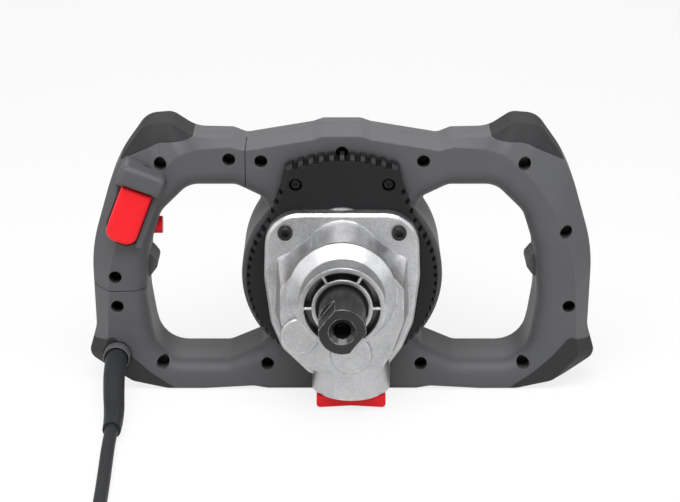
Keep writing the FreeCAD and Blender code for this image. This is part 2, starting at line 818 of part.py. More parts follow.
def toothed(teeth, x, z, start, end, tooth_direction):
    """A spur gear along Y with involute flanks, one tooth pointing along tooth_direction."""
    pitch_radius = sizes.gear_module * teeth / 2
    base_radius = pitch_radius * math.cos(PRESSURE_ANGLE)
    root_radius = pitch_radius - DEDENDUM_SHARE * sizes.gear_module
    tip_radius = pitch_radius + ADDENDUM_SHARE * sizes.gear_module
    flank_start = max(base_radius, root_radius)
    flank_radii = [flank_start + (tip_radius - flank_start) * step / 3 for step in range(4)]

    def involute(angle):
        return math.tan(angle) - angle

    half_tooth = math.pi / (2 * teeth) - sizes.gear_backlash / (4 * pitch_radius) + involute(PRESSURE_ANGLE)
    flank = [(root_radius, half_tooth - involute(math.acos(base_radius / flank_start)))]
    flank += [(radius, half_tooth - involute(math.acos(base_radius / radius))) for radius in flank_radii]
    points = []
    for tooth in range(teeth):
        middle = tooth_direction + 2 * math.pi * tooth / teeth
        rising = [(radius, middle - angle) for radius, angle in flank]
        falling = [(radius, middle + angle) for radius, angle in reversed(flank)]
        for radius, angle in rising + falling:
            point = Vector(x + radius * math.cos(angle), start, z + radius * math.sin(angle))
            if not points or points[-1].distanceToPoint(point) > sizes.running_gap:
                points.append(point)
    return Part.Face(Part.makePolygon(points + points[:1])).extrude(Vector(0, end - start, 0))


def gap_direction(direction, teeth):
    """The direction of a tooth when a gap between teeth points along the given direction."""
    return direction + math.pi / teeth


# Vent plate


rim = sizes.plate_rim_radius
ear_foot_rise = math.sqrt(rim ** 2 - sizes.plate_ear_foot ** 2)
EAR_NOTCHES = 4


def rim_notch(edge, turn):
    """A cutter for one slot, open at a rim that lies at x = edge, turned about the Y axis by degrees."""
    notch = Part.makeBox(
        sizes.rim_slot_depth + overrun, sizes.plate_thickness, sizes.rim_slot_width,
        Vector(edge - sizes.rim_slot_depth, plate_front, -sizes.rim_slot_width / 2),
    )
    notch.rotate(Vector(0, 0, 0), Vector(0, 1, 0), turn)
    return notch


def notches():
    """Slots round the rim of the vent plate, down the sides of its ear and along its arched top."""
    cutters = []
    foot_turn = math.degrees(math.atan2(ear_foot_rise, sizes.plate_ear_foot))
    free_turn = 180 + 2 * foot_turn
    count = int(math.radians(free_turn) * rim / sizes.rim_slot_pitch)
    for number in range(count):
        notch = rim_notch(rim, (number + 0.5) / count * free_turn - foot_turn)
        notch.translate(Vector(0, 0, axis_z))
        cutters.append(notch)
    run = Vector(sizes.plate_ear_foot - sizes.plate_ear_width, 0, ear_foot_rise - sizes.plate_ear_rise)
    lean = math.degrees(math.atan2(run.x, -run.z))
    for number in range(EAR_NOTCHES):
        along = (number + 0.5) / EAR_NOTCHES
        place = Vector(sizes.plate_ear_width, 0, axis_z + sizes.plate_ear_rise) + run * along
        for side, turn in ((1, -lean), (-1, 180 + lean)):
            notch = rim_notch(0, turn)
            notch.translate(Vector(side * place.x, 0, place.z))
            cutters.append(notch)
    arch = sizes.plate_arch_radius
    for number in range(int(sizes.arch_slots)):
        x = (number - (sizes.arch_slots - 1) / 2) * sizes.arch_slot_pitch
        edge = axis_z + sizes.plate_top - arch + math.sqrt(arch ** 2 - x ** 2)
        cutters.append(Part.makeBox(
            sizes.arch_slot, sizes.plate_thickness, sizes.arch_slot + overrun,
            Vector(x - sizes.arch_slot / 2, plate_front, edge - sizes.arch_slot),
        ))
    return Part.makeCompound(cutters)


def vent_plate_shape():
    """A round black plate with an arched ear on top, notched along its rim."""
    half_ear = [
        (sizes.plate_ear_foot, ear_foot_rise, sizes.arch_slot),
        (sizes.plate_ear_width, sizes.plate_ear_rise, sizes.plate_ear_round),
        (sizes.plate_ear_width - sizes.arch_slot, sizes.plate_top, sizes.plate_ear_round),
    ]
    ear_corners = [(x, axis_z + rise, radius) for x, rise, radius in half_ear]
    ear_corners += [(-x, z, radius) for x, z, radius in reversed(ear_corners)]
    ear = slab(ear_corners, plate_front, front)
    ear = ear.common(bar(0, axis_z + sizes.plate_top - sizes.plate_arch_radius, sizes.plate_arch_radius,
                         plate_front, front))
    disc = bar(0, axis_z, rim, plate_front, front)
    disc = disc.makeChamfer(sizes.plate_bevel, outer_edges(disc, plate_front))
    ear = ear.makeChamfer(sizes.plate_bevel, outer_edges(ear, plate_front))
    plate = disc.fuse(ear).cut(notches())
    plate = plate.cut(bar(0, axis_z, sizes.plate_bore_radius, plate_front, front))
    seat = plate_front + sizes.screw_head_height
    for side in (1, -1):
        x = side * sizes.plate_screw_spread
        z = axis_z + sizes.plate_screw_height
        plate = plate.cut(bar(x, z, sizes.plate_screw_well, plate_front, 2 * seat - plate_front))
        plate = plate.cut(bar(x, z, sizes.screw_shank_radius + sizes.running_gap, plate_front, front))
        plate = plate.cut(bar(
            side * sizes.case_screw_spread, axis_z + sizes.case_screw_rise,
            sizes.case_screw_shank_radius + sizes.fit_gap, plate_front, front,
        ))
    return plate


node("vent_plate", shaped("vent_plate", vent_plate_shape()))
plate_screw_seat = plate_front + 2 * sizes.screw_head_height
plate_screw_tip = front + wall
plate_screw = cross_screw(
    sizes.screw_head_radius, sizes.screw_head_height, sizes.screw_shank_radius,
    plate_screw_tip - plate_screw_seat,
)
plate_screw_places = [
    (side * sizes.plate_screw_spread, plate_screw_seat, axis_z + sizes.plate_screw_height)
    for side in (1, -1)
]
screw_set("vent_plate_screws", plate_screw, plate_screw_places)

# Gear case

# Corners of the flange, as shares of its half width and of its top.
FLANGE_SHARES = [
    (0.99, 0.95, 0.45), (1.02, 0.10, 0.90), (0.94, -0.50, 0.40), (0.79, -0.86, 0.25), (0.52, -1.22, 0.15),
    (-0.42, -1.22, 0.15), (-0.79, -0.86, 0.25), (-0.94, -0.50, 0.40), (-1.02, 0.10, 0.90), (-0.99, 0.95, 0.45),
]
# Corners of the raised body where it leaves the flange and at its front face.
BODY_FOOT_SHARES = [
    (0.32, 0.74, 0.06), (0.47, 0.60, 0.06), (0.70, 0.43, 0.06), (0.85, 0.37, 0.06), (0.88, -0.36, 0.30),
    (0.72, -0.82, 0.22), (0.52, -1.10, 0.15),
    (-0.42, -1.10, 0.15), (-0.72, -0.82, 0.22), (-0.88, -0.36, 0.30), (-0.85, 0.37, 0.06), (-0.70, 0.43, 0.06),
    (-0.47, 0.60, 0.06), (-0.32, 0.74, 0.06),
]
BODY_FACE_SHARES = [
    (0.24, 0.56, 0.06), (0.42, 0.48, 0.06), (0.66, 0.24, 0.06), (0.80, 0.07, 0.06), (0.80, -0.36, 0.30),
    (0.65, -0.78, 0.22), (0.50, -1.03, 0.15),
    (-0.36, -1.03, 0.15), (-0.65, -0.78, 0.22), (-0.80, -0.36, 0.30), (-0.80, 0.07, 0.06), (-0.66, 0.24, 0.06),
    (-0.42, 0.48, 0.06), (-0.24, 0.56, 0.06),
]


def flange_corners(rows):
    across = sizes.flange_half_width
    up = sizes.flange_top
    return [(x * across, axis_z + z * up, radius * across) for x, z, radius in rows]


def gear_case_solid():
    """The outside of the cast gear case."""
    flange = slab(flange_corners(FLANGE_SHARES), flange_front, plate_front)
    flange = flange.makeChamfer(sizes.flange_bevel, outer_edges(flange, flange_front))
    solid = flange.fuse(Part.makeLoft(
        [rounded_wire(flange_corners(BODY_FOOT_SHARES), flange_front),
         rounded_wire(flange_corners(BODY_FACE_SHARES), case_front)], True, True
    ))
    solid = solid.fuse(bar(0, axis_z, sizes.collar_radius, nose_front, flange_front))
    solid = solid.fuse(bar(0, axis_z, sizes.case_body_radius, case_front, flange_front))
    solid = solid.fuse(Part.makeCone(
        sizes.case_body_radius, sizes.collar_radius, sizes.flare_length,
        Vector(0, case_front, axis_z), Vector(0, -1, 0),
    ))
    ridge_back = Vector(0, plate_front, axis_z + sizes.ridge_top_rise)
    ridge_edge = Vector(0, case_front, axis_z + sizes.case_body_radius - sizes.ridge_dip)
    ridge_run = ridge_back - ridge_edge
    inward = Vector(0, ridge_run.z, -ridge_run.y).normalize() * sizes.ridge_radius
    ridge = Part.makeCylinder(
        sizes.ridge_radius, 3 * ridge_run.Length, ridge_edge + inward - ridge_run, ridge_run
    )
    below = Part.makeBox(
        2 * half_width, 2 * half_width, 2 * half_width,
        Vector(-half_width, -half_width, axis_z - 2 * half_width),
    )
    solid = solid.fuse(ridge.common(y_slice(case_front, plate_front)).cut(below))
    face_front = case_front - sizes.face_boss_height
    for x, drop, radius in (
        (sizes.layshaft_boss_x, sizes.layshaft_boss_drop, sizes.layshaft_boss_radius),
        (sizes.oil_boss_x, sizes.oil_boss_drop, sizes.oil_boss_radius),
    ):
        boss = bar(x, axis_z - drop, radius, face_front, plate_front)
        rim = [edge for edge in boss.Edges if edge.BoundBox.YMax < face_front + overrun]
        solid = solid.fuse(boss.makeChamfer(sizes.face_boss_bevel, rim))
    foot = Part.makeCylinder(
        sizes.selector_boss_radius, axis_z - sizes.collar_radius - sizes.selector_boss_foot,
        Vector(sizes.knob_x, sizes.selector_boss_y, sizes.selector_boss_foot),
    )
    lower_edges = [edge for edge in foot.Edges if edge.BoundBox.ZMax < sizes.selector_boss_foot + overrun]
    foot = foot.makeChamfer(sizes.selector_boss_bevel, lower_edges)
    return solid.fuse(foot.common(y_slice(4 * front, plate_front)))


fork_front = worth(f"({CLUTCH_FRONT} + {CLUTCH_REAR}) / 2") - sizes.fork_thickness / 2
clutch_travel = sizes.clutch_room - sizes.clutch_width - 2 * sizes.clutch_rest_gap
knob_y = front - math.hypot(sizes.knob_length / 2, sizes.knob_width / 2) - sizes.gear_side_gap
knob_top = sizes.knob_ground_gap + sizes.knob_height
stem_top = knob_top + sizes.knob_stem_length
foot_bottom = stem_top + sizes.fork_slot_gap
fork_rear = fork_front + sizes.fork_thickness
pin_offset = sizes.knob_pin_throw * math.cos(math.pi / 4)
pin_x = sizes.knob_x + pin_offset
pin_y = knob_y - pin_offset
fork_foot_front = pin_y - sizes.knob_pin_radius - sizes.fork_slot_gap - sizes.fork_thickness
fork_foot_start = sizes.knob_x + sizes.knob_pin_throw - sizes.fork_foot_width / 2
high_tip_radius = sizes.gear_module * (HIGH_PINION_TEETH / 2 + ADDENDUM_SHARE)
low_tip_radius = sizes.gear_module * (LOW_PINION_TEETH / 2 + ADDENDUM_SHARE)
gear_room_radius = sizes.gear_module * (LOW_GEAR_TEETH / 2 + ADDENDUM_SHARE) + sizes.case_wall


def gear_case_room():
    """The hollow of the gear case: gear chamber, layshaft and selector pockets, bearing and seal seats."""
    low_front = worth(LOW_FRONT) - sizes.gear_side_gap
    high_front = worth(HIGH_FRONT) - sizes.case_wall
    room_shape = bar(0, axis_z, gear_room_radius, low_front, plate_front)
    bearing_seat = worth(NOSE_BEARING_FRONT)
    room_shape = room_shape.fuse(bar(0, axis_z, sizes.front_bearing_radius, bearing_seat, plate_front))
    room_shape = room_shape.fuse(bar(0, axis_z, sizes.nose_bore, nose_front, plate_front))
    for radius, start in (
        (low_tip_radius + sizes.case_wall / 2, low_front),
        (high_tip_radius + sizes.case_wall / 2, high_front),
        (sizes.small_bearing_radius, worth(LAY_BEARING_FRONT)),
    ):
        room_shape = room_shape.fuse(bar(layshaft_x, layshaft_z, radius, start, plate_front))
    pocket_front = fork_foot_front - sizes.fork_slot_gap
    pocket = Part.makeBox(
        sizes.fork_foot_width + 2 * sizes.fork_slot_gap,
        fork_rear + clutch_travel + sizes.fork_slot_gap - pocket_front,
        axis_z - stem_top,
        Vector(fork_foot_start - sizes.fork_slot_gap, pocket_front, stem_top - sizes.fork_slot_gap),
    )
    stem_hole = Part.makeCylinder(
        sizes.knob_stem_radius + sizes.running_gap, stem_top, Vector(sizes.knob_x, knob_y, 0)
    )
    return room_shape.fuse(pocket.fuse(stem_hole))

NOSE_RIBS = 6


def gear_case_shape():
    """The gear case with its hollow, the ribbed recess of its nose and its screw holes."""
    case = gear_case_solid().cut(gear_case_room())
    recess_rear = nose_front + sizes.nose_recess
    recess = bar(0, axis_z, sizes.collar_bore, nose_front, recess_rear)
    recess = recess.cut(bar(0, axis_z, sizes.nose_ring_radius, nose_front, recess_rear))
    for number in range(NOSE_RIBS):
        rib = Part.makeBox(
            sizes.collar_radius, sizes.nose_recess, sizes.nose_rib_width,
            Vector(0, nose_front, -sizes.nose_rib_width / 2),
        )
        rib.rotate(Vector(0, 0, 0), Vector(0, 1, 0), 360 * number / NOSE_RIBS)
        rib.translate(Vector(0, 0, axis_z))
        recess = recess.cut(rib)
    case = case.cut(recess)
    for side in (1, -1):
        case = case.cut(bar(
            side * sizes.case_screw_spread, axis_z + sizes.case_screw_rise,
            sizes.case_screw_shank_radius + sizes.fit_gap, flange_front, plate_front,
        ))
        case = case.cut(bar(
            side * sizes.case_screw_spread, axis_z + sizes.case_screw_rise,
            sizes.case_screw_head_radius + sizes.fit_gap, 4 * front, flange_front,
        ))
    return case


node("gear_case", shaped("gear_case", gear_case_shape()))
case_screw = cross_screw(
    sizes.case_screw_head_radius, sizes.case_screw_head_height, sizes.case_screw_shank_radius,
    worth(COVER_FRONT) + sizes.case_screw_head_height - flange_front,
)
case_screw_places = [
    (side * sizes.case_screw_spread, flange_front, axis_z + sizes.case_screw_rise) for side in (1, -1)
]
screw_set("gear_case_screws", case_screw, case_screw_places)


# Spindle, its bearings and its gears


def bearing(label, bore, outer, start, end, at=("0", "0", "sizes.axis_height")):
    """A ball bearing as one ring, its shields set back between the two races."""
    inner_race = f"{bore} + sizes.bearing_ring"
    outer_race = f"{outer} - sizes.bearing_ring"
    shield = "sizes.gear_side_gap"
    corners = [
        (bore, start), (inner_race, start), (inner_race, f"{start} + {shield}"),
        (outer_race, f"{start} + {shield}"), (outer_race, start), (outer, start),
        (outer, end), (outer_race, end), (outer_race, f"{end} - {shield}"),
        (inner_race, f"{end} - {shield}"), (inner_race, end), (bore, end),
    ]
    return node(label, turned(label, corners, at))


LOW_SHOULDER = f"{LOW_FRONT} - sizes.running_gap"
spindle_turning = turned("spindle_turning", [
    ("0", f"{SPINDLE_TIP} + sizes.socket_depth"),
    ("sizes.socket_drill_radius", f"{SPINDLE_TIP} + sizes.socket_depth"),
    ("sizes.socket_drill_radius", f"{SPINDLE_TIP} + sizes.socket_mouth_radius - sizes.socket_drill_radius"),
    ("sizes.socket_mouth_radius", SPINDLE_TIP),
    ("sizes.spindle_radius", SPINDLE_TIP),
    ("sizes.spindle_radius", NOSE_BEARING_FRONT),
    ("sizes.spindle_seat_radius", NOSE_BEARING_FRONT),
    ("sizes.spindle_seat_radius", LOW_SHOULDER),
    ("sizes.spindle_core_radius", LOW_SHOULDER),
    ("sizes.spindle_core_radius", BRACKET_FRONT),
    ("sizes.spindle_tail_radius", BRACKET_FRONT),
    ("sizes.spindle_tail_radius", BRACKET_REAR),
    ("0", BRACKET_REAR),
])


def round_the_axis(shape, turn):
    """Turn a shape about the Y axis by degrees and lift it to the spindle axis."""
    moved = shape.copy()
    moved.rotate(Vector(0, 0, 0), Vector(0, 1, 0), turn)
    moved.translate(Vector(0, 0, axis_z))
    return moved


def spokes(count, first_turn, inner, outer, width, start, end):
    """Equal radial blocks round the axis, from one radius to another."""
    spoke = Part.makeBox(outer - inner, end - start, width, Vector(inner, start, -width / 2))
    return [round_the_axis(spoke, first_turn + 360 * number / count) for number in range(count)]


KEYS = 4
DOGS = 4
DOG_TURN = 45
spindle_tip = worth(SPINDLE_TIP)
low_front = worth(LOW_FRONT)
low_rear = worth(LOW_REAR)
high_front = worth(HIGH_FRONT)
high_rear = worth(HIGH_REAR)
flat_face = sizes.spindle_radius - sizes.spindle_flat_depth
flats = spokes(
    2, sizes.spindle_flat_slope, flat_face, 2 * sizes.spindle_radius, 2 * sizes.spindle_radius,
    spindle_tip - overrun, spindle_tip + sizes.spindle_flat_length,
)
key_reach = sizes.spindle_core_radius + sizes.key_height
keys = spokes(
    KEYS, 0, sizes.spindle_core_radius / 2, key_reach, sizes.key_width,
    low_rear + sizes.running_gap, high_front - sizes.running_gap,
)
flat_spindle = taken("flat_spindle", spindle_turning, shaped("spindle_flats", Part.makeCompound(flats)))
key_pieces = [shaped(f"spindle_key_{number}", key) for number, key in enumerate(keys)]
node("spindle", joined("spindle", flat_spindle, *key_pieces))

SPINDLE_GAP_BORE = "sizes.spindle_seat_radius + sizes.running_gap"
node("spindle_seal", ring(
    "spindle_seal", "sizes.spindle_radius + sizes.running_gap", "sizes.nose_bore - sizes.running_gap",
    SEAL_FRONT, SEAL_REAR,
))
bearing(
    "spindle_front_bearing", SPINDLE_GAP_BORE, "sizes.front_bearing_radius",
    NOSE_BEARING_FRONT, NOSE_BEARING_REAR,
)
bearing(
    "spindle_rear_bearing", "sizes.spindle_tail_radius + sizes.running_gap", "sizes.rear_bearing_radius",
    BRACKET_FRONT, BRACKET_REAR,
)

gear_bore = sizes.spindle_core_radius + sizes.running_gap
dog_recess = sizes.dog_height + sizes.dog_gap
low_gear = toothed(
    LOW_GEAR_TEETH, 0, axis_z, low_front, low_rear, gap_direction(LAYSHAFT_DIRECTION, LOW_GEAR_TEETH)
)
low_gear = low_gear.cut(bar(0, axis_z, gear_bore, low_front, low_rear))
low_gear = low_gear.cut(Part.makeCompound(spokes(
    DOGS, DOG_TURN, sizes.dog_inner_radius - sizes.dog_gap, sizes.dog_outer_radius + sizes.dog_gap,
    sizes.dog_width + 2 * sizes.dog_gap, low_rear - dog_recess, low_rear,
)))
node("low_gear", shaped("low_gear", low_gear))

high_gear = toothed(
    HIGH_GEAR_TEETH, 0, axis_z, high_front, high_rear, gap_direction(LAYSHAFT_DIRECTION, HIGH_GEAR_TEETH)
)
high_gear = high_gear.cut(bar(0, axis_z, gear_bore, high_front, high_rear))
dog_corner = math.hypot(sizes.dog_outer_radius, sizes.dog_width / 2) + sizes.dog_gap
recess_rear = high_front + dog_recess
high_recess = bar(0, axis_z, dog_corner, high_front, recess_rear)
dog_inside = sizes.dog_inner_radius - sizes.dog_gap
high_recess = high_recess.cut(bar(0, axis_z, dog_inside, high_front, recess_rear))
node("high_gear", shaped("high_gear", high_gear.cut(high_recess)))

CLUTCH_MIDDLE = f"({CLUTCH_FRONT} + {CLUTCH_REAR}) / 2"
clutch_ring = turned("clutch_ring", [
    ("sizes.spindle_core_radius + sizes.running_gap", CLUTCH_FRONT),
    ("sizes.clutch_radius", CLUTCH_FRONT),
    ("sizes.clutch_radius", f"{CLUTCH_MIDDLE} - sizes.clutch_groove_width / 2"),
    ("sizes.clutch_groove_radius", f"{CLUTCH_MIDDLE} - sizes.clutch_groove_width / 2"),
    ("sizes.clutch_groove_radius", f"{CLUTCH_MIDDLE} + sizes.clutch_groove_width / 2"),
    ("sizes.clutch_radius", f"{CLUTCH_MIDDLE} + sizes.clutch_groove_width / 2"),
    ("sizes.clutch_radius", CLUTCH_REAR),
    ("sizes.spindle_core_radius + sizes.running_gap", CLUTCH_REAR),
])
clutch_front = worth(CLUTCH_FRONT)
clutch_rear = worth(CLUTCH_REAR)
keyways = spokes(
    KEYS, 0, sizes.spindle_core_radius / 2, key_reach + sizes.dog_gap / 2, sizes.key_width + sizes.dog_gap,
    clutch_front - overrun, clutch_rear + overrun,
)
slotted_clutch = taken("slotted_clutch", clutch_ring, shaped("clutch_keyways", Part.makeCompound(keyways)))
dogs = spokes(
    DOGS, DOG_TURN, sizes.dog_inner_radius, sizes.dog_outer_radius, sizes.dog_width,
    clutch_front - sizes.dog_height, clutch_rear + sizes.dog_height,
)
dog_pieces = [shaped(f"clutch_dog_{number}", dog) for number, dog in enumerate(dogs)]
node("dog_clutch", joined("dog_clutch", slotted_clutch, *dog_pieces))

# Layshaft

first_front = worth(FIRST_FRONT)
first_rear = worth(FIRST_REAR)
LAY_REAR_BEARING_FRONT = f"({COVER_FRONT} + sizes.layshaft_nose_wall)"
LAY_REAR_BEARING_REAR = f"({LAY_REAR_BEARING_FRONT} + sizes.small_bearing_width)"
layshaft_bar = turned("layshaft_bar", [
    ("0", LAY_BEARING_FRONT),
    ("sizes.layshaft_journal_radius", LAY_BEARING_FRONT),
    ("sizes.layshaft_journal_radius", LOW_FRONT),
    ("sizes.layshaft_radius", LOW_FRONT),
    ("sizes.layshaft_radius", FIRST_REAR),
    ("sizes.layshaft_journal_radius", FIRST_REAR),
    ("sizes.layshaft_journal_radius", LAY_REAR_BEARING_REAR),
    ("0", LAY_REAR_BEARING_REAR),
], LAYSHAFT_AT)
low_pinion = shaped(
    "low_pinion", toothed(LOW_PINION_TEETH, layshaft_x, layshaft_z, low_front, low_rear, AXIS_DIRECTION)
)
node("layshaft", joined("layshaft", layshaft_bar, low_pinion))
layshaft_bore = sizes.layshaft_radius + sizes.running_gap
high_pinion = toothed(HIGH_PINION_TEETH, layshaft_x, layshaft_z, high_front, high_rear, AXIS_DIRECTION)
high_pinion = high_pinion.cut(bar(layshaft_x, layshaft_z, layshaft_bore, high_front, high_rear))
node("layshaft_high_gear", shaped("layshaft_high_gear", high_pinion))
first_gear = toothed(
    FIRST_GEAR_TEETH, layshaft_x, layshaft_z, first_front, first_rear,
    gap_direction(AXIS_DIRECTION, FIRST_GEAR_TEETH),
)
first_gear = first_gear.cut(bar(layshaft_x, layshaft_z, layshaft_bore, first_front, first_rear))
node("layshaft_first_gear", shaped("layshaft_first_gear", first_gear))
JOURNAL_BORE = "sizes.layshaft_journal_radius + sizes.running_gap"
bearing(
    "layshaft_front_bearing", JOURNAL_BORE, "sizes.small_bearing_radius", LAY_BEARING_FRONT,
    LAY_BEARING_REAR, LAYSHAFT_AT,
)
bearing(
    "layshaft_rear_bearing", JOURNAL_BORE, "sizes.small_bearing_radius", LAY_REAR_BEARING_FRONT,
    LAY_REAR_BEARING_REAR, LAYSHAFT_AT,
)

# Bracket behind the gear case, and the cover between the gears and the motor

case_screw_room = shaped("case_screw_room", Part.makeCompound([
    bar(x, z, sizes.case_screw_shank_radius + sizes.running_gap, flange_front, worth(COVER_REAR))
    for x, _, z in case_screw_places
]))
bracket_disc = ring(
    "bracket_disc", "sizes.rear_bearing_radius", "sizes.housing_radius", BRACKET_FRONT, BRACKET_REAR
)
layshaft_way = rod(
    "layshaft_way", (LAYSHAFT_AT[0], BRACKET_FRONT, LAYSHAFT_AT[2]),
    "sizes.layshaft_radius + sizes.gear_side_gap", "sizes.bracket_thickness",
)
node("bearing_bracket", taken("bearing_bracket", bracket_disc, layshaft_way, case_screw_room))
cover_disc = ring(
    "cover_disc", "sizes.motor_front_bearing_radius", "sizes.housing_radius", COVER_FRONT, COVER_REAR
)
layshaft_seat = rod(
    "layshaft_seat", (LAYSHAFT_AT[0], COVER_FRONT, LAYSHAFT_AT[2]),
    "sizes.small_bearing_radius", "sizes.cover_thickness",
)
node("gearbox_cover", taken("gearbox_cover", cover_disc, layshaft_seat, case_screw_room))

# Speed selector

KNOB_SHARES = [(0.5, 1, 0.1), (0.5, 0, 0.3), (0, 0.16, 6), (-0.5, 0, 0.3), (-0.5, 1, 0.1)]
knob_corners = [
    (sizes.knob_x + x * sizes.knob_length, sizes.knob_ground_gap + z * sizes.knob_height,
     radius * sizes.knob_height)
    for x, z, radius in KNOB_SHARES
]
knob_bar = slab(knob_corners, knob_y - sizes.knob_width / 2, knob_y + sizes.knob_width / 2)
knob_stem = Part.makeCylinder(
    sizes.knob_stem_radius, stem_top - sizes.knob_ground_gap - sizes.knob_height / 2,
    Vector(sizes.knob_x, knob_y, sizes.knob_ground_gap + sizes.knob_height / 2),
)
knob_pin = Part.makeCylinder(
    sizes.knob_pin_radius, sizes.knob_pin_length + overrun, Vector(pin_x, pin_y, stem_top - overrun)
)
node("selector_knob", shaped("selector_knob", knob_bar.fuse(knob_stem).fuse(knob_pin)))

fork_inner = sizes.clutch_groove_radius + sizes.dog_gap
fork_ring = bar(0, axis_z, sizes.fork_radius, fork_front, fork_rear)
lower_half = Part.makeBox(
    2 * sizes.fork_radius, sizes.fork_thickness, sizes.fork_radius,
    Vector(-sizes.fork_radius, fork_front, axis_z - sizes.fork_radius),
)
fork = fork_ring.common(lower_half)
fork = fork.fuse(Part.makeBox(
    sizes.fork_foot_width, sizes.fork_thickness, axis_z - sizes.clutch_radius - foot_bottom,
    Vector(fork_foot_start, fork_front, foot_bottom),
))
fork = fork.fuse(Part.makeBox(
    sizes.fork_foot_width, fork_rear - fork_foot_front, sizes.fork_foot_thickness,
    Vector(fork_foot_start, fork_foot_front, foot_bottom),
))
fork = fork.cut(bar(0, axis_z, fork_inner, fork_front, fork_rear))
slot_reach = sizes.knob_pin_radius + sizes.fork_slot_gap
fork = fork.cut(Part.makeBox(
    sizes.knob_pin_throw - pin_offset + 2 * slot_reach, 2 * slot_reach, 2 * sizes.knob_pin_length,
    Vector(pin_x - slot_reach, pin_y - slot_reach, stem_top),
))
node("selector_fork", shaped("selector_fork", fork))

# Motor

FAN_FRONT = f"({COVER_REAR} + sizes.fan_gap)"
FAN_REAR = f"({FAN_FRONT} + sizes.fan_length)"
STATOR_FRONT = f"({FAN_REAR} + sizes.stator_gap)"
STATOR_REAR = f"({STATOR_FRONT} + sizes.stator_length)"
COMMUTATOR_FRONT = f"({STATOR_REAR} + sizes.winding_length + sizes.commutator_gap)"
COMMUTATOR_REAR = f"({COMMUTATOR_FRONT} + sizes.commutator_length)"
MOTOR_BEARING_FRONT = f"({HOUSING_REAR} + sizes.gear_side_gap)"
MOTOR_BEARING_REAR = f"({MOTOR_BEARING_FRONT} + sizes.motor_bearing_width)"
ON_SHAFT = "sizes.motor_shaft_radius + sizes.running_gap"
IN_HOUSING = "sizes.housing_radius - sizes.housing_wall"
FAN_RIM = f"{IN_HOUSING} - sizes.fan_rim_gap"

armature_bar = turned("armature_bar", [
    ("0", FIRST_FRONT),
    ("sizes.motor_shaft_radius", FIRST_FRONT),
    ("sizes.motor_shaft_radius", MOTOR_BEARING_FRONT),
    ("sizes.motor_rear_journal", MOTOR_BEARING_FRONT),
    ("sizes.motor_rear_journal", MOTOR_BEARING_REAR),
    ("0", MOTOR_BEARING_REAR),
])
motor_pinion = shaped(
    "motor_pinion", toothed(MOTOR_PINION_TEETH, 0, axis_z, first_front, first_rear, LAYSHAFT_DIRECTION)
)
node("armature_shaft", joined("armature_shaft", armature_bar, motor_pinion))
node("armature_core", ring(
    "armature_core", ON_SHAFT, "sizes.stator_bore - sizes.air_gap", STATOR_FRONT, STATOR_REAR
))
front_winding = ring(
    "front_winding", ON_SHAFT, "sizes.winding_radius", f"{STATOR_FRONT} - sizes.winding_length",
    STATOR_FRONT,
)
rear_winding = ring(
    "rear_winding", ON_SHAFT, "sizes.winding_radius", STATOR_REAR, f"{STATOR_REAR} + sizes.winding_length"
)
windings = doc.addObject("Part::Compound", "armature_windings")
windings.Links = [front_winding, rear_winding]
node("armature_windings", windings)
node("commutator", ring(
    "commutator", ON_SHAFT, "sizes.commutator_radius", COMMUTATOR_FRONT, COMMUTATOR_REAR
))

fan_front = worth(FAN_FRONT)
fan_disc = turned("fan_disc", [
    (ON_SHAFT, FAN_FRONT),
    (FAN_RIM, FAN_FRONT),
    (FAN_RIM, f"{FAN_FRONT} + sizes.fan_plate"),
    ("sizes.fan_hub_radius", f"{FAN_FRONT} + sizes.fan_plate"),
    ("sizes.fan_hub_radius", FAN_REAR),
    (ON_SHAFT, FAN_REAR),
])
FAN_BLADES = 12
blades = spokes(
    FAN_BLADES, 0, sizes.fan_hub_radius - sizes.fan_blade, worth(FAN_RIM), sizes.fan_blade,
    fan_front + sizes.fan_plate / 2, worth(FAN_REAR),
)
node("fan", joined("fan", fan_disc, *[shaped(f"fan_blade_{n}", blade) for n, blade in enumerate(blades)]))

bearing("motor_front_bearing", ON_SHAFT, "sizes.motor_front_bearing_radius", COVER_FRONT, COVER_REAR)
bearing(
    "motor_rear_bearing", "sizes.motor_rear_journal + sizes.running_gap", "sizes.motor_rear_bearing_radius",
    MOTOR_BEARING_FRONT, MOTOR_BEARING_REAR,
)
node("motor_housing", ring("motor_housing", IN_HOUSING, "sizes.housing_radius", COVER_REAR, HOUSING_REAR))
SEAT_WALL = "sizes.motor_rear_bearing_radius + sizes.cap_wall"
CAP_INSIDE = f"({CAP_REAR} - sizes.cap_wall)"
cap_cup = turned("cap_cup", [
    ("sizes.motor_rear_bearing_radius", MOTOR_BEARING_FRONT),
    (SEAT_WALL, MOTOR_BEARING_FRONT),
    (SEAT_WALL, CAP_INSIDE),
    ("sizes.housing_radius - sizes.cap_wall - sizes.cap_bevel", CAP_INSIDE),
    ("sizes.housing_radius - sizes.cap_wall", f"{CAP_INSIDE} - sizes.cap_bevel"),
    ("sizes.housing_radius - sizes.cap_wall", HOUSING_REAR),
    ("sizes.housing_radius", HOUSING_REAR),
    ("sizes.housing_radius", f"{CAP_REAR} - sizes.cap_bevel"),
    ("sizes.housing_radius - sizes.cap_bevel", CAP_REAR),
    ("0", CAP_REAR),
    ("0", MOTOR_BEARING_REAR),
    ("sizes.motor_rear_bearing_radius", MOTOR_BEARING_REAR),
])
CAP_SLOTS = 20
cap_slots = spokes(
    CAP_SLOTS, 0, worth(SEAT_WALL) + sizes.cap_wall,
    sizes.housing_radius - sizes.cap_wall - sizes.cap_bevel, sizes.cap_slot_width,
    worth(CAP_INSIDE) - overrun, worth(CAP_REAR) + overrun,
)
node("motor_cap", taken("motor_cap", cap_cup, shaped("cap_slots", Part.makeCompound(cap_slots))))

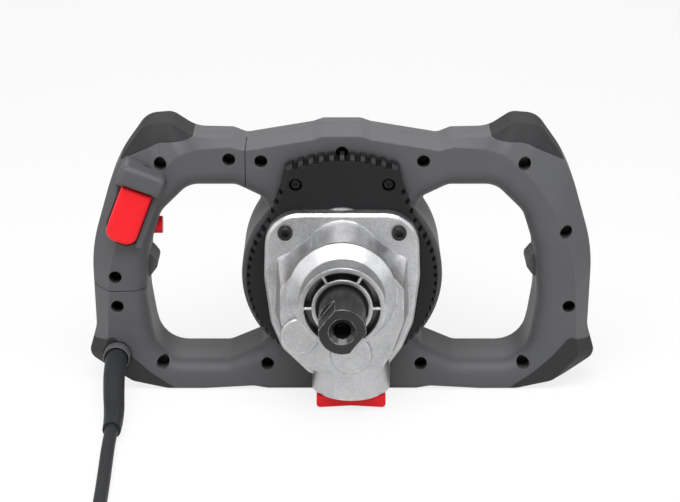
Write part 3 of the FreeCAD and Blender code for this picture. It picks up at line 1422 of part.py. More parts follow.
stator_front = worth(STATOR_FRONT)
stator_rear = worth(STATOR_REAR)
stator_radius = worth(IN_HOUSING) - sizes.running_gap
POLE_HALF_ANGLE = 42
COIL_HALF_ANGLE = 54
POLE_DIRECTIONS = (0, 180)
# How much of the stator's ring, from its bore to its rim, is yoke.
YOKE_SHARE = 0.4878


def sector(inner, outer, start, end, middle, half_angle):
    """Part of a ring about the axis, spanning half_angle degrees each side of its middle."""
    wedge = Part.makeCylinder(outer, end - start, Vector(0, start, 0), Vector(0, 1, 0), 2 * half_angle)
    wedge = wedge.cut(bar(0, 0, inner, start, end)).Solids[0]
    spread = math.degrees(math.atan2(wedge.CenterOfMass.z, wedge.CenterOfMass.x))
    wedge.rotate(Vector(0, 0, 0), Vector(0, 1, 0), spread - middle)
    wedge.translate(Vector(0, 0, axis_z))
    return wedge


yoke_inner = stator_radius - YOKE_SHARE * (stator_radius - sizes.stator_bore)
coil_inner = sizes.stator_bore + sizes.field_coil_pole_gap
coil_outer_edge = yoke_inner - sizes.field_coil_yoke_gap
stator = bar(0, axis_z, stator_radius, stator_front, stator_rear)
stator = stator.cut(bar(0, axis_z, yoke_inner, stator_front, stator_rear))
field_coils = []
for middle in POLE_DIRECTIONS:
    pole = sector(
        sizes.stator_bore, yoke_inner + overrun, stator_front, stator_rear, middle, POLE_HALF_ANGLE
    )
    stator = stator.fuse(pole)
    coil_ends = (stator_front - sizes.field_coil_overhang, stator_rear + sizes.field_coil_overhang)
    coil = sector(coil_inner, coil_outer_edge, *coil_ends, middle, COIL_HALF_ANGLE)
    window = sector(
        coil_inner - overrun, coil_outer_edge + overrun,
        stator_front - sizes.gear_side_gap, stator_rear + sizes.gear_side_gap, middle, POLE_HALF_ANGLE + 1,
    )
    field_coils.append(coil.cut(window))
node("stator_core", shaped("stator_core", stator.removeSplitter()))
node("field_coils", shaped("field_coils", Part.makeCompound(field_coils)))

brush_middle = worth(f"({COMMUTATOR_FRONT} + {COMMUTATOR_REAR}) / 2")
brush_start = sizes.commutator_radius + sizes.fit_gap
brush_end = brush_start + sizes.brush_length
holder_start = sizes.commutator_radius + sizes.commutator_gap
holder_end = worth(IN_HOUSING) - sizes.gear_side_gap
box_wall = sizes.brush_box_wall


def brush_block(start, end, margin):
    """A block on the brushes' line, margin larger than the brush all round, from one radius to another."""
    half_depth = sizes.brush_depth / 2 + margin
    width = sizes.brush_width + 2 * margin
    return spokes(2, 0, start, end, width, brush_middle - half_depth, brush_middle + half_depth)


holders = []
for outside, inside in zip(
    brush_block(holder_start, holder_end, box_wall + sizes.running_gap),
    brush_block(holder_start - overrun, holder_end - box_wall, sizes.running_gap),
):
    holders.append(outside.cut(inside))
node("brush_holders", shaped("brush_holders", Part.makeCompound(holders)))
node("carbon_brushes", shaped("carbon_brushes", Part.makeCompound(brush_block(brush_start, brush_end, 0))))
springs = []
for side in (1, -1):
    way = Vector(side, 0, 0)
    foot = Vector(side * brush_end, brush_middle, axis_z)
    coil_outer = sizes.brush_width / 2 - sizes.running_gap
    spring = Part.makeCylinder(coil_outer, holder_end - box_wall - brush_end, foot, way)
    springs.append(spring.cut(Part.makeCylinder(coil_outer - sizes.spring_wire, holder_end, foot, way)))
node("brush_springs", shaped("brush_springs", Part.makeCompound(springs)))

# Mains lead: the guard at the frame, the free stretch on the floor, and the put-away coil with its plug

# Points of the guard's sleeve: across and out from the frame's front as shares of its half width, and
# how far the sleeve has sunk from its exit to the floor.
GUARD_ROUTE_SHARES = [
    (-0.897, 0.000, 0), (-0.897, 0.120, 0), (-0.889, 0.250, 0.46), (-0.875, 0.377, 1), (-0.875, 0.491, 1)
]
# Points of the free lead between the straight runs at its ends: across and out as shares of the half
# width, up as a share of the lead's radius; then the place across and out where the coil begins.
LEAD_SHARES = [(-0.869, 0.789, 1.16), (-0.858, 1.074, 1.07), (-0.856, 1.360, 1.09), (-0.8717, 1.623, 1.36)]
COIL_SHARES = (-0.875, 1.943)
RUN_SHARE = 0.45


def corner_arc(start, corner, end):
    """The arc that leaves start towards corner and meets end, both as far from the corner."""
    before = (start - corner).normalize()
    after = (end - corner).normalize()
    half_angle = before.getAngle(after) / 2
    reach = start.distanceToPoint(corner)
    radius = reach * math.tan(half_angle)
    inward = (before + after).normalize()
    return Part.Arc(start, corner + inward * (radius / math.sin(half_angle) - radius), end), radius


def rounded_route(name, route):
    """A path of straight runs joined by tangent arcs, each arc as large as its two runs allow."""
    edges = []
    radii = []
    last = route[0]
    for index in range(1, len(route) - 1):
        here = route[index]
        before = route[index - 1] - here
        after = route[index + 1] - here
        reach = RUN_SHARE * min(before.Length, after.Length)
        start = here + before.normalize() * reach
        end = here + after.normalize() * reach
        arc, radius = corner_arc(start, here, end)
        edges += [Part.LineSegment(last, start).toShape(), arc.toShape()]
        radii.append(round(radius))
        last = end
    edges.append(Part.LineSegment(last, route[-1]).toShape())
    print(name, "bend radii", radii)
    return Part.Wire(edges)


def tube(name, path, radius):
    """A round tube along a path; prints how its volume compares with section times length."""
    first = path.OrderedEdges[0]
    way = first.tangentAt(first.FirstParameter)
    section = Part.Wire(Part.makeCircle(radius, first.valueAt(first.FirstParameter), way))
    solid = path.makePipeShell([section], True, False)
    plain_volume = math.pi * radius ** 2 * path.Length
    print(name, "length", round(path.Length), "volume ratio", solid.Volume / plain_volume)
    return solid


sleeve_floor = sizes.guard_radius + sizes.fit_gap
guard_route = [
    Vector(x * half_width, front - out * half_width, guard_z + sunk * (sleeve_floor - guard_z))
    for x, out, sunk in GUARD_ROUTE_SHARES
]
guard_collar = bar(
    guard_x, guard_z, sizes.guard_collar_radius, front - sizes.guard_collar_length, guard_start
)
guard_sleeve = tube("cord_guard", rounded_route("cord_guard", guard_route), sizes.guard_radius)
node("cord_guard", shaped("cord_guard", guard_collar.fuse(guard_sleeve).removeSplitter()))

coil_floor = sizes.cord_radius + sizes.tie_thickness + sizes.tie_gap + sizes.fit_gap
coil_entry = Vector(COIL_SHARES[0] * half_width, front - COIL_SHARES[1] * half_width, coil_floor)
end_run = Vector(0, sizes.lead_end_run, 0)
lead_route = [guard_route[-1], guard_route[-1] - end_run]
lead_route += [
    Vector(x * half_width, front - out * half_width, up * sizes.cord_radius) for x, out, up in LEAD_SHARES
]
lead_route += [coil_entry + end_run, coil_entry]
node("power_cord", shaped(
    "power_cord", tube("power_cord", rounded_route("power_cord", lead_route), sizes.cord_radius)
))

# The coil lies in two layers, spiralling in on the floor and out again above.
COIL_LAYERS = 2
COIL_HALF_TURNS = 7
coil_pitch = 2 * sizes.cord_radius + sizes.coil_gap
coil_outer = sizes.coil_turn_radius + COIL_HALF_TURNS * coil_pitch / 4
coil_centre = coil_entry + Vector(coil_outer, -2 * sizes.cord_radius, 0)


def coil_path():
    """Half turns round the coil's centre, with the climb in the half turn where the spiral reverses."""
    side = -1
    radius = coil_outer
    here = coil_centre + Vector(side * radius, 0, 0)
    edges = [Part.LineSegment(coil_entry, here).toShape()]
    for layer in range(COIL_LAYERS):
        step = (coil_pitch if layer else -coil_pitch) / 2
        if layer:
            there = coil_centre + Vector(-side * radius, 0, layer * coil_pitch)
            reach = math.hypot(radius, coil_pitch / 2)
            first_corner = here + Vector(0, side * reach, 0)
            second_corner = there + Vector(0, side * reach, 0)
            middle = (first_corner + second_corner) / 2
            edges.append(corner_arc(here, first_corner, middle)[0].toShape())
            edges.append(corner_arc(middle, second_corner, there)[0].toShape())
            here = there
            side = -side
        for _ in range(COIL_HALF_TURNS):
            next_radius = radius + step
            there = coil_centre + Vector(-side * next_radius, 0, layer * coil_pitch)
            bottom = (here + there) / 2 + Vector(0, side * (radius + next_radius) / 2, 0)
            edges.append(Part.Arc(here, bottom, there).toShape())
            here = there
            radius = next_radius
            side = -side
    tail = here + Vector(0, side * sizes.coil_tail, 0)
    edges.append(Part.LineSegment(here, tail).toShape())
    return Part.Wire(edges), tail


coil_wire, coil_end = coil_path()
node("cord_coil", shaped("cord_coil", tube("cord_coil", coil_wire, sizes.cord_radius)))


def least_gap(path, radius):
    """The least clear distance between stretches of a tube that lie over half a turn apart along it."""
    step = radius
    points = path.discretize(Distance=step)
    apart = int(math.pi * sizes.coil_turn_radius / step)
    nearest = min(
        points[first].distanceToPoint(points[second])
        for first in range(len(points)) for second in range(first + apart, len(points))
    )
    return nearest - 2 * radius


print("cord_coil least gap to itself", least_gap(coil_wire, sizes.cord_radius))

# Tie round the coil, and the plug

tie_outer_turn = coil_outer - coil_pitch / 4
tie_inner_turn = tie_outer_turn - (COIL_HALF_TURNS - 1) / 2 * coil_pitch
clear = sizes.cord_radius + sizes.tie_gap
strap = sizes.tie_thickness
tie_low = coil_entry.z - clear
tie_high = coil_entry.z + coil_pitch + clear
tie_far = coil_centre.y - tie_outer_turn - clear
tie_near = coil_centre.y - tie_inner_turn + clear
tie_left = coil_centre.x - sizes.tie_width / 2
tie = Part.makeBox(
    sizes.tie_width, tie_near - tie_far + 2 * strap, tie_high - tie_low + 2 * strap,
    Vector(tie_left, tie_far - strap, tie_low - strap),
)
tie = tie.cut(Part.makeBox(
    sizes.tie_width, tie_near - tie_far, tie_high - tie_low, Vector(tie_left, tie_far, tie_low)
))
node("cord_tie", shaped("cord_tie", tie))

plug_low = sizes.fit_gap
plug_round = sizes.plug_width / 4
plug_start = coil_end.y + sizes.plug_neck_length
plug_end = plug_start + sizes.plug_length - sizes.plug_neck_length
plug_half = sizes.plug_width / 2
plug_half_height = coil_end.z - plug_low
plug_body = slab(
    [(coil_end.x + x * plug_half, coil_end.z + z * plug_half_height, plug_round)
     for x, z in ((1, 1), (1, -1), (-1, -1), (-1, 1))],
    plug_start, plug_end,
)
plug_neck = bar(coil_end.x, coil_end.z, sizes.plug_neck_radius, coil_end.y, plug_start)
node("plug", shaped("plug", plug_body.fuse(plug_neck)))
node("plug_pins", shaped("plug_pins", Part.makeCompound([
    bar(coil_end.x + side * sizes.plug_pin_spread / 2, coil_end.z, sizes.plug_pin_radius, plug_end,
        plug_end + sizes.plug_pin_length)
    for side in (1, -1)
])))

# Checks and files

doc.recompute()
for item in doc.Objects:
    if "Invalid" in item.State or "Error" in item.State:
        raise RuntimeError(f"{item.Name} failed to build")
for label, item in nodes.items():
    if item.Shape.isNull() or not item.Shape.isValid():
        raise RuntimeError(f"{label} has no valid shape")
for label, item in nodes.items():
    item.Shape.exportStep(f"parts/{label}.step")
    print(label, len(item.Shape.Solids), round(item.Shape.Volume))
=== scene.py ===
"""Looks of the two-handed mixing drill: finishes, lead and plug, small fittings, light and camera."""
import json
import math

import bmesh
import bpy
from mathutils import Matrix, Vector


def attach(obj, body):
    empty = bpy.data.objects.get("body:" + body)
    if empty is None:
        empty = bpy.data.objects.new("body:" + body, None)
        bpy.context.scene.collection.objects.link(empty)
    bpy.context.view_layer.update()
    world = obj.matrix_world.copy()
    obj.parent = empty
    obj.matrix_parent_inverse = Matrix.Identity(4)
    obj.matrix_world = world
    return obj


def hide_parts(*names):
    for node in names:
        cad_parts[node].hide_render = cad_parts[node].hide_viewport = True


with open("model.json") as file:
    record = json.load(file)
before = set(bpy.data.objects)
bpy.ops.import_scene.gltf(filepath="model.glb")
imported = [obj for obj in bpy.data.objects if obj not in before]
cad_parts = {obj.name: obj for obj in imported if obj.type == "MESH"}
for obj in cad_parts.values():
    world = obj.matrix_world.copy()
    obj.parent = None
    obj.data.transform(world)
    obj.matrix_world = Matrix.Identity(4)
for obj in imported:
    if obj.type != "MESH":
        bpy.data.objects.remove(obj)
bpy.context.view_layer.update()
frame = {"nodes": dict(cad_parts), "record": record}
scene = bpy.context.scene


# Camera at the photograph's angle: in front of the spindle, a little above
VIEW_DISTANCE = 1.5
VIEW_ELEVATION = math.radians(20)
VIEW_TARGET = Vector((-0.0014, 0, 0.0914))
LENS = 113
SENSOR_WIDTH = 36
NEAREST_SEEN = 0.05
FARTHEST_SEEN = 50


def in_scene(name, data):
    """A new object in the scene."""
    item = bpy.data.objects.new(name, data)
    scene.collection.objects.link(item)
    return item


def aim(item, place, direction):
    """Put a camera or a lamp at a place and turn it to look along a direction."""
    item.location = place
    item.rotation_euler = direction.to_track_quat("-Z", "Y").to_euler()


def place_camera():
    """The scene's camera."""
    camera = in_scene("camera", bpy.data.cameras.new("camera"))
    away = Vector((0, -math.cos(VIEW_ELEVATION), math.sin(VIEW_ELEVATION)))
    aim(camera, VIEW_TARGET + away * VIEW_DISTANCE, -away)
    camera.data.lens = LENS
    camera.data.sensor_width = SENSOR_WIDTH
    camera.data.clip_start = NEAREST_SEEN
    camera.data.clip_end = FARTHEST_SEEN
    scene.camera = camera


place_camera()


# Helpers for meshes
WELD_DISTANCE = 1e-7
GROWN_CREASE = math.radians(35)
LOFT_CREASE = math.radians(40)
ROUND_POINTS = 48


def piece_from_bmesh(name, bm):
    """A smooth-shaded piece from a working mesh, which is used up."""
    bmesh.ops.remove_doubles(bm, verts=bm.verts, dist=WELD_DISTANCE)
    bmesh.ops.recalc_face_normals(bm, faces=bm.faces)
    mesh = bpy.data.meshes.new(name)
    bm.to_mesh(mesh)
    bm.free()
    mesh.shade_smooth()
    return in_scene(name, mesh)


def lofted(name, rings):
    """A closed skin over rings with equal numbers of points."""
    bm = bmesh.new()
    rows = [[bm.verts.new(point) for point in ring] for ring in rings]
    count = len(rows[0])
    for row, after in zip(rows, rows[1:]):
        for number in range(count):
            step = (number + 1) % count
            bm.faces.new((row[number], row[step], after[step], after[number]))
    bm.faces.new(rows[0])
    bm.faces.new(reversed(rows[-1]))
    piece = piece_from_bmesh(name, bm)
    piece.data.set_sharp_from_angle(angle=LOFT_CREASE)
    return piece


def round_turns():
    """Angles once round a circle."""
    return [2 * math.pi * number / ROUND_POINTS for number in range(ROUND_POINTS)]


def freeze(piece):
    """Work a piece's modifiers into its mesh and remove them."""
    view = bpy.context.evaluated_depsgraph_get()
    mesh = bpy.data.meshes.new_from_object(piece.evaluated_get(view))
    piece.modifiers.clear()
    piece.data = mesh


def grown(name, points, tree, slot, **values):
    """A plain mesh that a geometry tree makes at these points; values set the tree's named inputs."""
    mesh = bpy.data.meshes.new(name)
    mesh.from_pydata([tuple(point) for point in points], [], [])
    piece = in_scene(name, mesh)
    modifier = piece.modifiers.new(name, "NODES")
    modifier.node_group = tree
    values["Finish"] = finishes[slot]
    for socket in tree.interface.items_tree:
        label = socket.name.replace(" ", "_")
        if socket.in_out == "INPUT" and label in values:
            modifier[socket.identifier] = values[label]
    freeze(piece)
    piece.data.shade_smooth()
    piece.data.set_sharp_from_angle(angle=GROWN_CREASE)
    return piece


def finish_piece(piece, slot, *nodes):
    """Give a piece its finish, the body it moves with and the CAD nodes it stands for."""
    piece.data.materials.clear()
    piece.data.materials.append(finishes[slot])
    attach(piece, "housing")
    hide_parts(*nodes)


# Helpers for node trees
FLOAT = "NodeSocketFloat"
VECTOR = "NodeSocketVector"
MIX_BELOW, MIX_ABOVE, MIX_RESULT = 6, 7, 2  # the colour sockets of a mix node
FACING_FRONT = (math.pi / 2, 0, 0)


def feed(tree, item, socket, value):
    """Set a node's input socket; a value (node, output) is wired to it."""
    target = item.inputs[socket]
    if isinstance(value, tuple) and isinstance(value[0], bpy.types.Node):
        source, output = value
        tree.links.new(source.outputs[output], target)
    else:
        target.default_value = value


def fill(tree, item, **settings):
    """Set a node's properties, or its input sockets where a name has a leading capital."""
    for key, value in settings.items():
        if key[0].isupper():
            feed(tree, item, key.replace("_", " "), value)
        else:
            setattr(item, key, value)


def add(tree, kind, at, **settings):
    """A new node in a tree, with its settings."""
    item = tree.nodes.new(kind)
    item.location = at
    fill(tree, item, **settings)
    return item


def maths(tree, operation, at, *values):
    """The result of a calculation with numbers and other nodes' outputs."""
    item = add(tree, "ShaderNodeMath", at, operation=operation)
    for number, value in enumerate(values):
        feed(tree, item, number, value)
    return item, "Value"


def colour_mix(tree, at, mask, below, above):
    """A colour between two others, by a mask; each is three numbers or an earlier mix."""
    item = add(tree, "ShaderNodeMix", at, data_type="RGBA")
    feed(tree, item, 0, mask)
    for socket, colour in ((MIX_BELOW, below), (MIX_ABOVE, above)):
        plain = isinstance(colour[0], float)
        feed(tree, item, socket, (*colour, 1) if plain else colour)
    return item, MIX_RESULT


def new_group(name, inputs, outputs):
    """An empty shader group; inputs give each number's value, outputs each socket's kind."""
    group = bpy.data.node_groups.new(name, "ShaderNodeTree")
    for label, value in inputs.items():
        group.interface.new_socket(label, in_out="INPUT", socket_type=FLOAT).default_value = value
    for label, kind in outputs.items():
        group.interface.new_socket(label, in_out="OUTPUT", socket_type=kind)
    return group, add(group, "NodeGroupInput", (-900, 0)), add(group, "NodeGroupOutput", (700, 0))


def new_shape_tree(name, sizes, places=()):
    """An empty geometry tree with a geometry input, named sizes and places, and a finish."""
    tree = bpy.data.node_groups.new(name, "GeometryNodeTree")
    kinds = [("Geometry", "NodeSocketGeometry")]
    kinds += [(label, FLOAT) for label in sizes]
    kinds += [(label, VECTOR) for label in places]
    kinds += [("Finish", "NodeSocketMaterial")]
    for label, kind in kinds:
        tree.interface.new_socket(label, in_out="INPUT", socket_type=kind)
    tree.interface.new_socket("Geometry", in_out="OUTPUT", socket_type="NodeSocketGeometry")
    return tree, add(tree, "NodeGroupInput", (-1200, 0)), add(tree, "NodeGroupOutput", (1200, 0))


def close_tree(tree, inside, out, last):
    """End a geometry tree: real meshes in place of instances, then the finish."""
    real = add(tree, "GeometryNodeRealizeInstances", (800, 0), Geometry=last)
    dressed = add(tree, "GeometryNodeSetMaterial", (1000, 0), Geometry=(real, "Geometry"), Material=(inside, "Finish"))
    feed(tree, out, "Geometry", (dressed, "Geometry"))
    return tree


# Finishes
RECESS_SHADE_SHARE = 0.2  # brightness of the painted shade in a recess, as a share of the dark shade


def grain_group():
    """Fine surface grain over a slow drift: a height, a roughness and a shade from 0 to 1."""
    group, inside, out = new_group(
        "surface_grain",
        {"Grain Scale": 1200, "Drift Scale": 25, "Rough": 0.5, "Spread": 0.1, "Speckle": 0.4},
        {"Height": FLOAT, "Roughness": FLOAT, "Shade": FLOAT},
    )
    place = add(group, "ShaderNodeTexCoord", (-900, 300))
    fine = add(
        group, "ShaderNodeTexNoise", (-600, 200), Vector=(place, "Object"), Scale=(inside, "Grain Scale"),
        Detail=4, Roughness=0.6,
    )
    slow = add(
        group, "ShaderNodeTexNoise", (-600, -100), Vector=(place, "Object"), Scale=(inside, "Drift Scale"),
        Detail=3, Roughness=0.55,
    )
    both = maths(group, "ADD", (-300, 0), (fine, "Fac"), (slow, "Fac"))
    centred = maths(group, "SUBTRACT", (-100, 0), both, 1)
    spread = maths(group, "MULTIPLY_ADD", (100, 0), centred, (inside, "Spread"), (inside, "Rough"))
    off_mean = maths(group, "SUBTRACT", (-300, -300), (fine, "Fac"), 0.5)
    speckled = maths(group, "MULTIPLY_ADD", (100, -300), off_mean, (inside, "Speckle"), (slow, "Fac"))
    fill(group, out, Height=(fine, "Fac"), Roughness=spread, Shade=speckled)
    return group


def edge_wear_and_highlight_group():
    """Where edges are scuffed and carry a painted highlight: a mask from 0 to 1, broken up by noise, and a normal that
    rounds the edges.
    """
    group, inside, out = new_group(
        "edge_wear", {"Width": 0.001, "Amount": 0.5, "Break Scale": 180}, {"Mask": FLOAT, "Normal": VECTOR}
    )
    place = add(group, "ShaderNodeTexCoord", (-900, 300))
    soft = add(group, "ShaderNodeBevel", (-700, 0), samples=4, Radius=(inside, "Width"))
    true_normal = add(group, "ShaderNodeNewGeometry", (-700, -200))
    turn = add(group, "ShaderNodeVectorMath", (-500, 0), operation="DOT_PRODUCT")
    feed(group, turn, 0, (soft, "Normal"))
    feed(group, turn, 1, (true_normal, "Normal"))
    edge = add(group, "ShaderNodeMapRange", (-300, 0), Value=(turn, "Value"), From_Min=0.995, From_Max=0.9)
    noise = add(
        group, "ShaderNodeTexNoise", (-500, 300), Vector=(place, "Object"), Scale=(inside, "Break Scale"),
        Detail=5, Roughness=0.65,
    )
    patchy = add(group, "ShaderNodeMapRange", (-300, 300), Value=(noise, "Fac"), From_Min=0.42, From_Max=0.62)
    broken = maths(group, "MULTIPLY", (0, 0), (edge, "Result"), (patchy, "Result"))
    scaled = maths(group, "MULTIPLY", (200, 0), broken, (inside, "Amount"))
    fill(group, out, Mask=scaled, Normal=(soft, "Normal"))
    return group


def painted_recess_shade_group():
    """Painted shade where recesses close in: a mask that is 1 deep in recesses and 0 on open faces."""
    group, inside, out = new_group("cavity_dust", {"Reach": 0.008, "Amount": 0.5}, {"Mask": FLOAT})
    open_sky = add(group, "ShaderNodeAmbientOcclusion", (-600, 0), samples=8, Distance=(inside, "Reach"))
    closed = add(group, "ShaderNodeMapRange", (-300, 0), Value=(open_sky, "AO"), From_Min=0.75, From_Max=0.15)
    fill(group, out, Mask=maths(group, "MULTIPLY", (0, 0), (closed, "Result"), (inside, "Amount")))
    return group


GRAIN = grain_group()
EDGE_WEAR_AND_HIGHLIGHT = edge_wear_and_highlight_group()
PAINTED_RECESS_SHADE = painted_recess_shade_group()


def finish(name, dark, light, worn_and_highlight, rough, metallic=0, specular=0.35, grain=1500, drift=30, spread=0.12, speckle=0.4,
           bump=0.00004, strength=0.4, wear_and_highlight=0.4, edge_width=0.0008, recess_shade=0.35, cavity_reach=0.006):
    """A grained surface that drifts between two shades, its edges scuffed to a third colour that is also a painted
    highlight, and painted shade in its recesses.
    """
    material = bpy.data.materials.new(name)
    material.use_nodes = True
    tree = material.node_tree
    surface = add(
        tree, "ShaderNodeGroup", (-900, 0), node_tree=GRAIN, Grain_Scale=grain, Drift_Scale=drift, Rough=rough,
        Spread=spread, Speckle=speckle,
    )
    edge = add(tree, "ShaderNodeGroup", (-900, -300), node_tree=EDGE_WEAR_AND_HIGHLIGHT, Width=edge_width, Amount=wear_and_highlight)
    recess = add(tree, "ShaderNodeGroup", (-900, -600), node_tree=PAINTED_RECESS_SHADE, Reach=cavity_reach, Amount=recess_shade)
    shade = colour_mix(tree, (-600, 200), (surface, "Shade"), dark, light)
    # Scuffing and painted highlight: edges are lightened towards the edge colour
    edge_scuffed_and_lit = colour_mix(tree, (-400, 200), (edge, "Mask"), shade, worn_and_highlight)
    # Painted shade: recesses are darkened towards a share of the dark colour
    recess_shaded = colour_mix(tree, (-200, 200), (recess, "Mask"), edge_scuffed_and_lit, [RECESS_SHADE_SHARE * part for part in dark])
    relief = add(
        tree, "ShaderNodeBump", (-350, -200), Strength=strength, Distance=bump, Height=(surface, "Height"),
        Normal=(edge, "Normal"),
    )
    fill(
        tree, tree.nodes["Principled BSDF"], Metallic=metallic, Specular_IOR_Level=specular, Base_Color=recess_shaded,
        Roughness=(surface, "Roughness"), Normal=(relief, "Normal"),
    )
    return material


FINISHES = {
    "frame_grey": dict(
        dark=(0.074, 0.075, 0.079), light=(0.095, 0.096, 0.101), worn_and_highlight=(0.17, 0.17, 0.18), rough=0.5, specular=0.3,
        grain=1700, bump=0.00006, wear_and_highlight=0.3, edge_width=0.0012, recess_shade=1, cavity_reach=0.009,
    ),
    "bumper_rubber": dict(
        dark=(0.022, 0.022, 0.024), light=(0.034, 0.034, 0.036), worn_and_highlight=(0.06, 0.06, 0.064), rough=0.68, specular=0.25,
        grain=1000, bump=0.00008, strength=0.7, edge_width=0.001,
    ),
    "cord_rubber": dict(
        dark=(0.018, 0.019, 0.021), light=(0.028, 0.03, 0.033), worn_and_highlight=(0.06, 0.06, 0.06), rough=0.55, specular=0.25,
        wear_and_highlight=0.2,
    ),
    "black_plastic": dict(
        dark=(0.009, 0.009, 0.01), light=(0.015, 0.015, 0.017), worn_and_highlight=(0.05, 0.05, 0.055), rough=0.5, specular=0.22,
        wear_and_highlight=0.35, edge_width=0.0006,
    ),
    "red_plastic": dict(
        dark=(0.74, 0.006, 0.011), light=(0.86, 0.011, 0.02), worn_and_highlight=(0.9, 0.1, 0.09), rough=0.36, specular=0.25,
        wear_and_highlight=0.2, edge_width=0.001, recess_shade=0.2,
    ),
    # Bright edges here are partly scuffing, partly a painted highlight
    "cast_alloy": dict(
        dark=(0.32, 0.323, 0.33), light=(0.74, 0.745, 0.755), worn_and_highlight=(0.9, 0.9, 0.91), rough=0.4, metallic=1,
        grain=900, drift=45, spread=0.3, speckle=1.1, bump=0.00014, strength=0.75, wear_and_highlight=1, edge_width=0.0015,
        recess_shade=0.85, cavity_reach=0.011,
    ),
    "black_steel": dict(
        dark=(0.012, 0.012, 0.013), light=(0.022, 0.022, 0.023), worn_and_highlight=(0.2, 0.2, 0.21), rough=0.33, metallic=0.4,
        wear_and_highlight=0.6, edge_width=0.0005,
    ),
    "bright_steel": dict(
        dark=(0.48, 0.48, 0.49), light=(0.6, 0.6, 0.61), worn_and_highlight=(0.75, 0.75, 0.76), rough=0.28, metallic=1,
    ),
    "lamination": dict(dark=(0.2, 0.2, 0.21), light=(0.3, 0.3, 0.31), worn_and_highlight=(0.4, 0.4, 0.41), rough=0.5, metallic=0.9),
    "copper": dict(dark=(0.5, 0.18, 0.07), light=(0.72, 0.3, 0.12), worn_and_highlight=(0.85, 0.5, 0.25), rough=0.35, metallic=1),
    "brass": dict(dark=(0.6, 0.42, 0.16), light=(0.78, 0.6, 0.28), worn_and_highlight=(0.9, 0.75, 0.4), rough=0.3, metallic=1),
    "carbon": dict(dark=(0.02, 0.02, 0.02), light=(0.045, 0.045, 0.045), worn_and_highlight=(0.1, 0.1, 0.1), rough=0.6),
    # Near-white edges on the dark steel are partly scuffing, mostly a painted highlight
    "spindle_steel": dict(
        dark=(0.018, 0.018, 0.019), light=(0.03, 0.03, 0.032), worn_and_highlight=(0.75, 0.75, 0.76), rough=0.3, metallic=0.25,
        specular=0.7, wear_and_highlight=1, edge_width=0.0007,
    ),
}
finishes = {name: finish(name, **look) for name, look in FINISHES.items()}
for part in frame["record"]["subparts"]:
    mesh = frame["nodes"][part["node"]].data
    mesh.materials.clear()
    mesh.materials.append(finishes[part["material_slot"]])
frame["nodes"]["spindle"].data.materials[0] = finishes["spindle_steel"]


# Mains lead: one smooth line along the floor, through the put-away coil to the plug
CORD_DIAMETER = 0.009
LEAD_POINTS = [
    (-0.153125, -0.117925, 0.0078), (-0.153125, -0.137925, 0.0078), (-0.152075, -0.170075, 0.00522),
    (-0.15015, -0.21995, 0.004815), (-0.1498, -0.27, 0.004905), (-0.1525475, -0.316025, 0.00612),
    (-0.153125, -0.352025, 0.0066), (-0.153125, -0.372025, 0.0066),
]
COIL_CENTRE = Vector((-0.079525, -0.381025, 0.0066))
COIL_OUTER = 0.0736
COIL_PITCH = 0.0112
INWARD_TURNS = 3.5
CLIMB_TURNS = 0.5
TURN_POINTS = 16
COIL_TAIL = 0.058
TAIL_SHARES = (0.3, 0.65, 1)


def coil_points():
    """Control points of a two-layer spiral, in on the floor and out above, with the climb between."""
    points = []
    outward_from = INWARD_TURNS + CLIMB_TURNS
    stretch = 1 / math.cos(math.pi / TURN_POINTS)
    for number in range(int((outward_from + INWARD_TURNS) * TURN_POINTS) + 1):
        turn = number / TURN_POINTS
        wound = min(turn, INWARD_TURNS) - max(turn - outward_from, 0)
        climbed = min(max((turn - INWARD_TURNS) / CLIMB_TURNS, 0), 1)
        radius = (COIL_OUTER - COIL_PITCH * wound) * stretch
        angle = math.pi + 2 * math.pi * turn
        rise = COIL_PITCH * climbed * climbed * (3 - 2 * climbed)
        points.append(COIL_CENTRE + Vector((radius * math.cos(angle), radius * math.sin(angle), rise)))
    return points


def smooth_line(name, points, radius, along=6, around=5):
    """A round tube on a smooth line with these control points; along and around set how fine it is."""
    curve = bpy.data.curves.new(name, "CURVE")
    curve.dimensions = "3D"
    line = curve.splines.new("NURBS")
    line.points.add(len(points) - 1)
    for control, place in zip(line.points, points):
        control.co = (*place, 1)
    line.order_u = 3
    line.use_endpoint_u = True
    line.resolution_u = along
    curve.bevel_depth = radius
    curve.bevel_resolution = around
    curve.use_fill_caps = True
    return in_scene(name, curve)


tail_start = COIL_CENTRE + Vector((COIL_OUTER, 0, COIL_PITCH))
tail_points = [tail_start + Vector((0, COIL_TAIL * share, 0)) for share in TAIL_SHARES]
lead = smooth_line("lead", LEAD_POINTS + coil_points()[1:] + tail_points, CORD_DIAMETER / 2)
finish_piece(lead, "cord_rubber", "power_cord", "cord_coil")


# Cord guard: a grey collar on the frame with the tapered black sleeve in it
GUARD_POINTS = [
    (-0.156975, -0.032, 0.02603), (-0.156975, -0.053, 0.02603), (-0.155575, -0.07575, 0.01764),
    (-0.153125, -0.097975, 0.0078), (-0.153125, -0.117925, 0.0078),
]
GUARD_RADII = (0.0075, 0.0075, 0.0073, 0.0069, 0.0062)
COLLAR_PROFILE = (  # place along Y, radius
    (-0.015, 0.0092), (-0.0385, 0.0094), (-0.0394, 0.0092), (-0.04, 0.0086), (-0.0398, 0.0081), (-0.039, 0.0079),
    (-0.033, 0.0079), (-0.0325, 0.006),
)


def collar_ring(along, radius):
    """One section of the collar."""
    x, _, z = GUARD_POINTS[0]
    return [(x + radius * math.cos(turn), along, z + radius * math.sin(turn)) for turn in round_turns()]


cord_collar = lofted("cord_collar", [collar_ring(*section) for section in COLLAR_PROFILE])
finish_piece(cord_collar, "frame_grey", "cord_guard")
cord_sleeve = smooth_line("cord_sleeve", GUARD_POINTS, 1, along=16, around=8)
for control, radius in zip(cord_sleeve.data.splines[0].points, GUARD_RADII):
    control.radius = radius
finish_piece(cord_sleeve, "cord_rubber", "cord_guard")


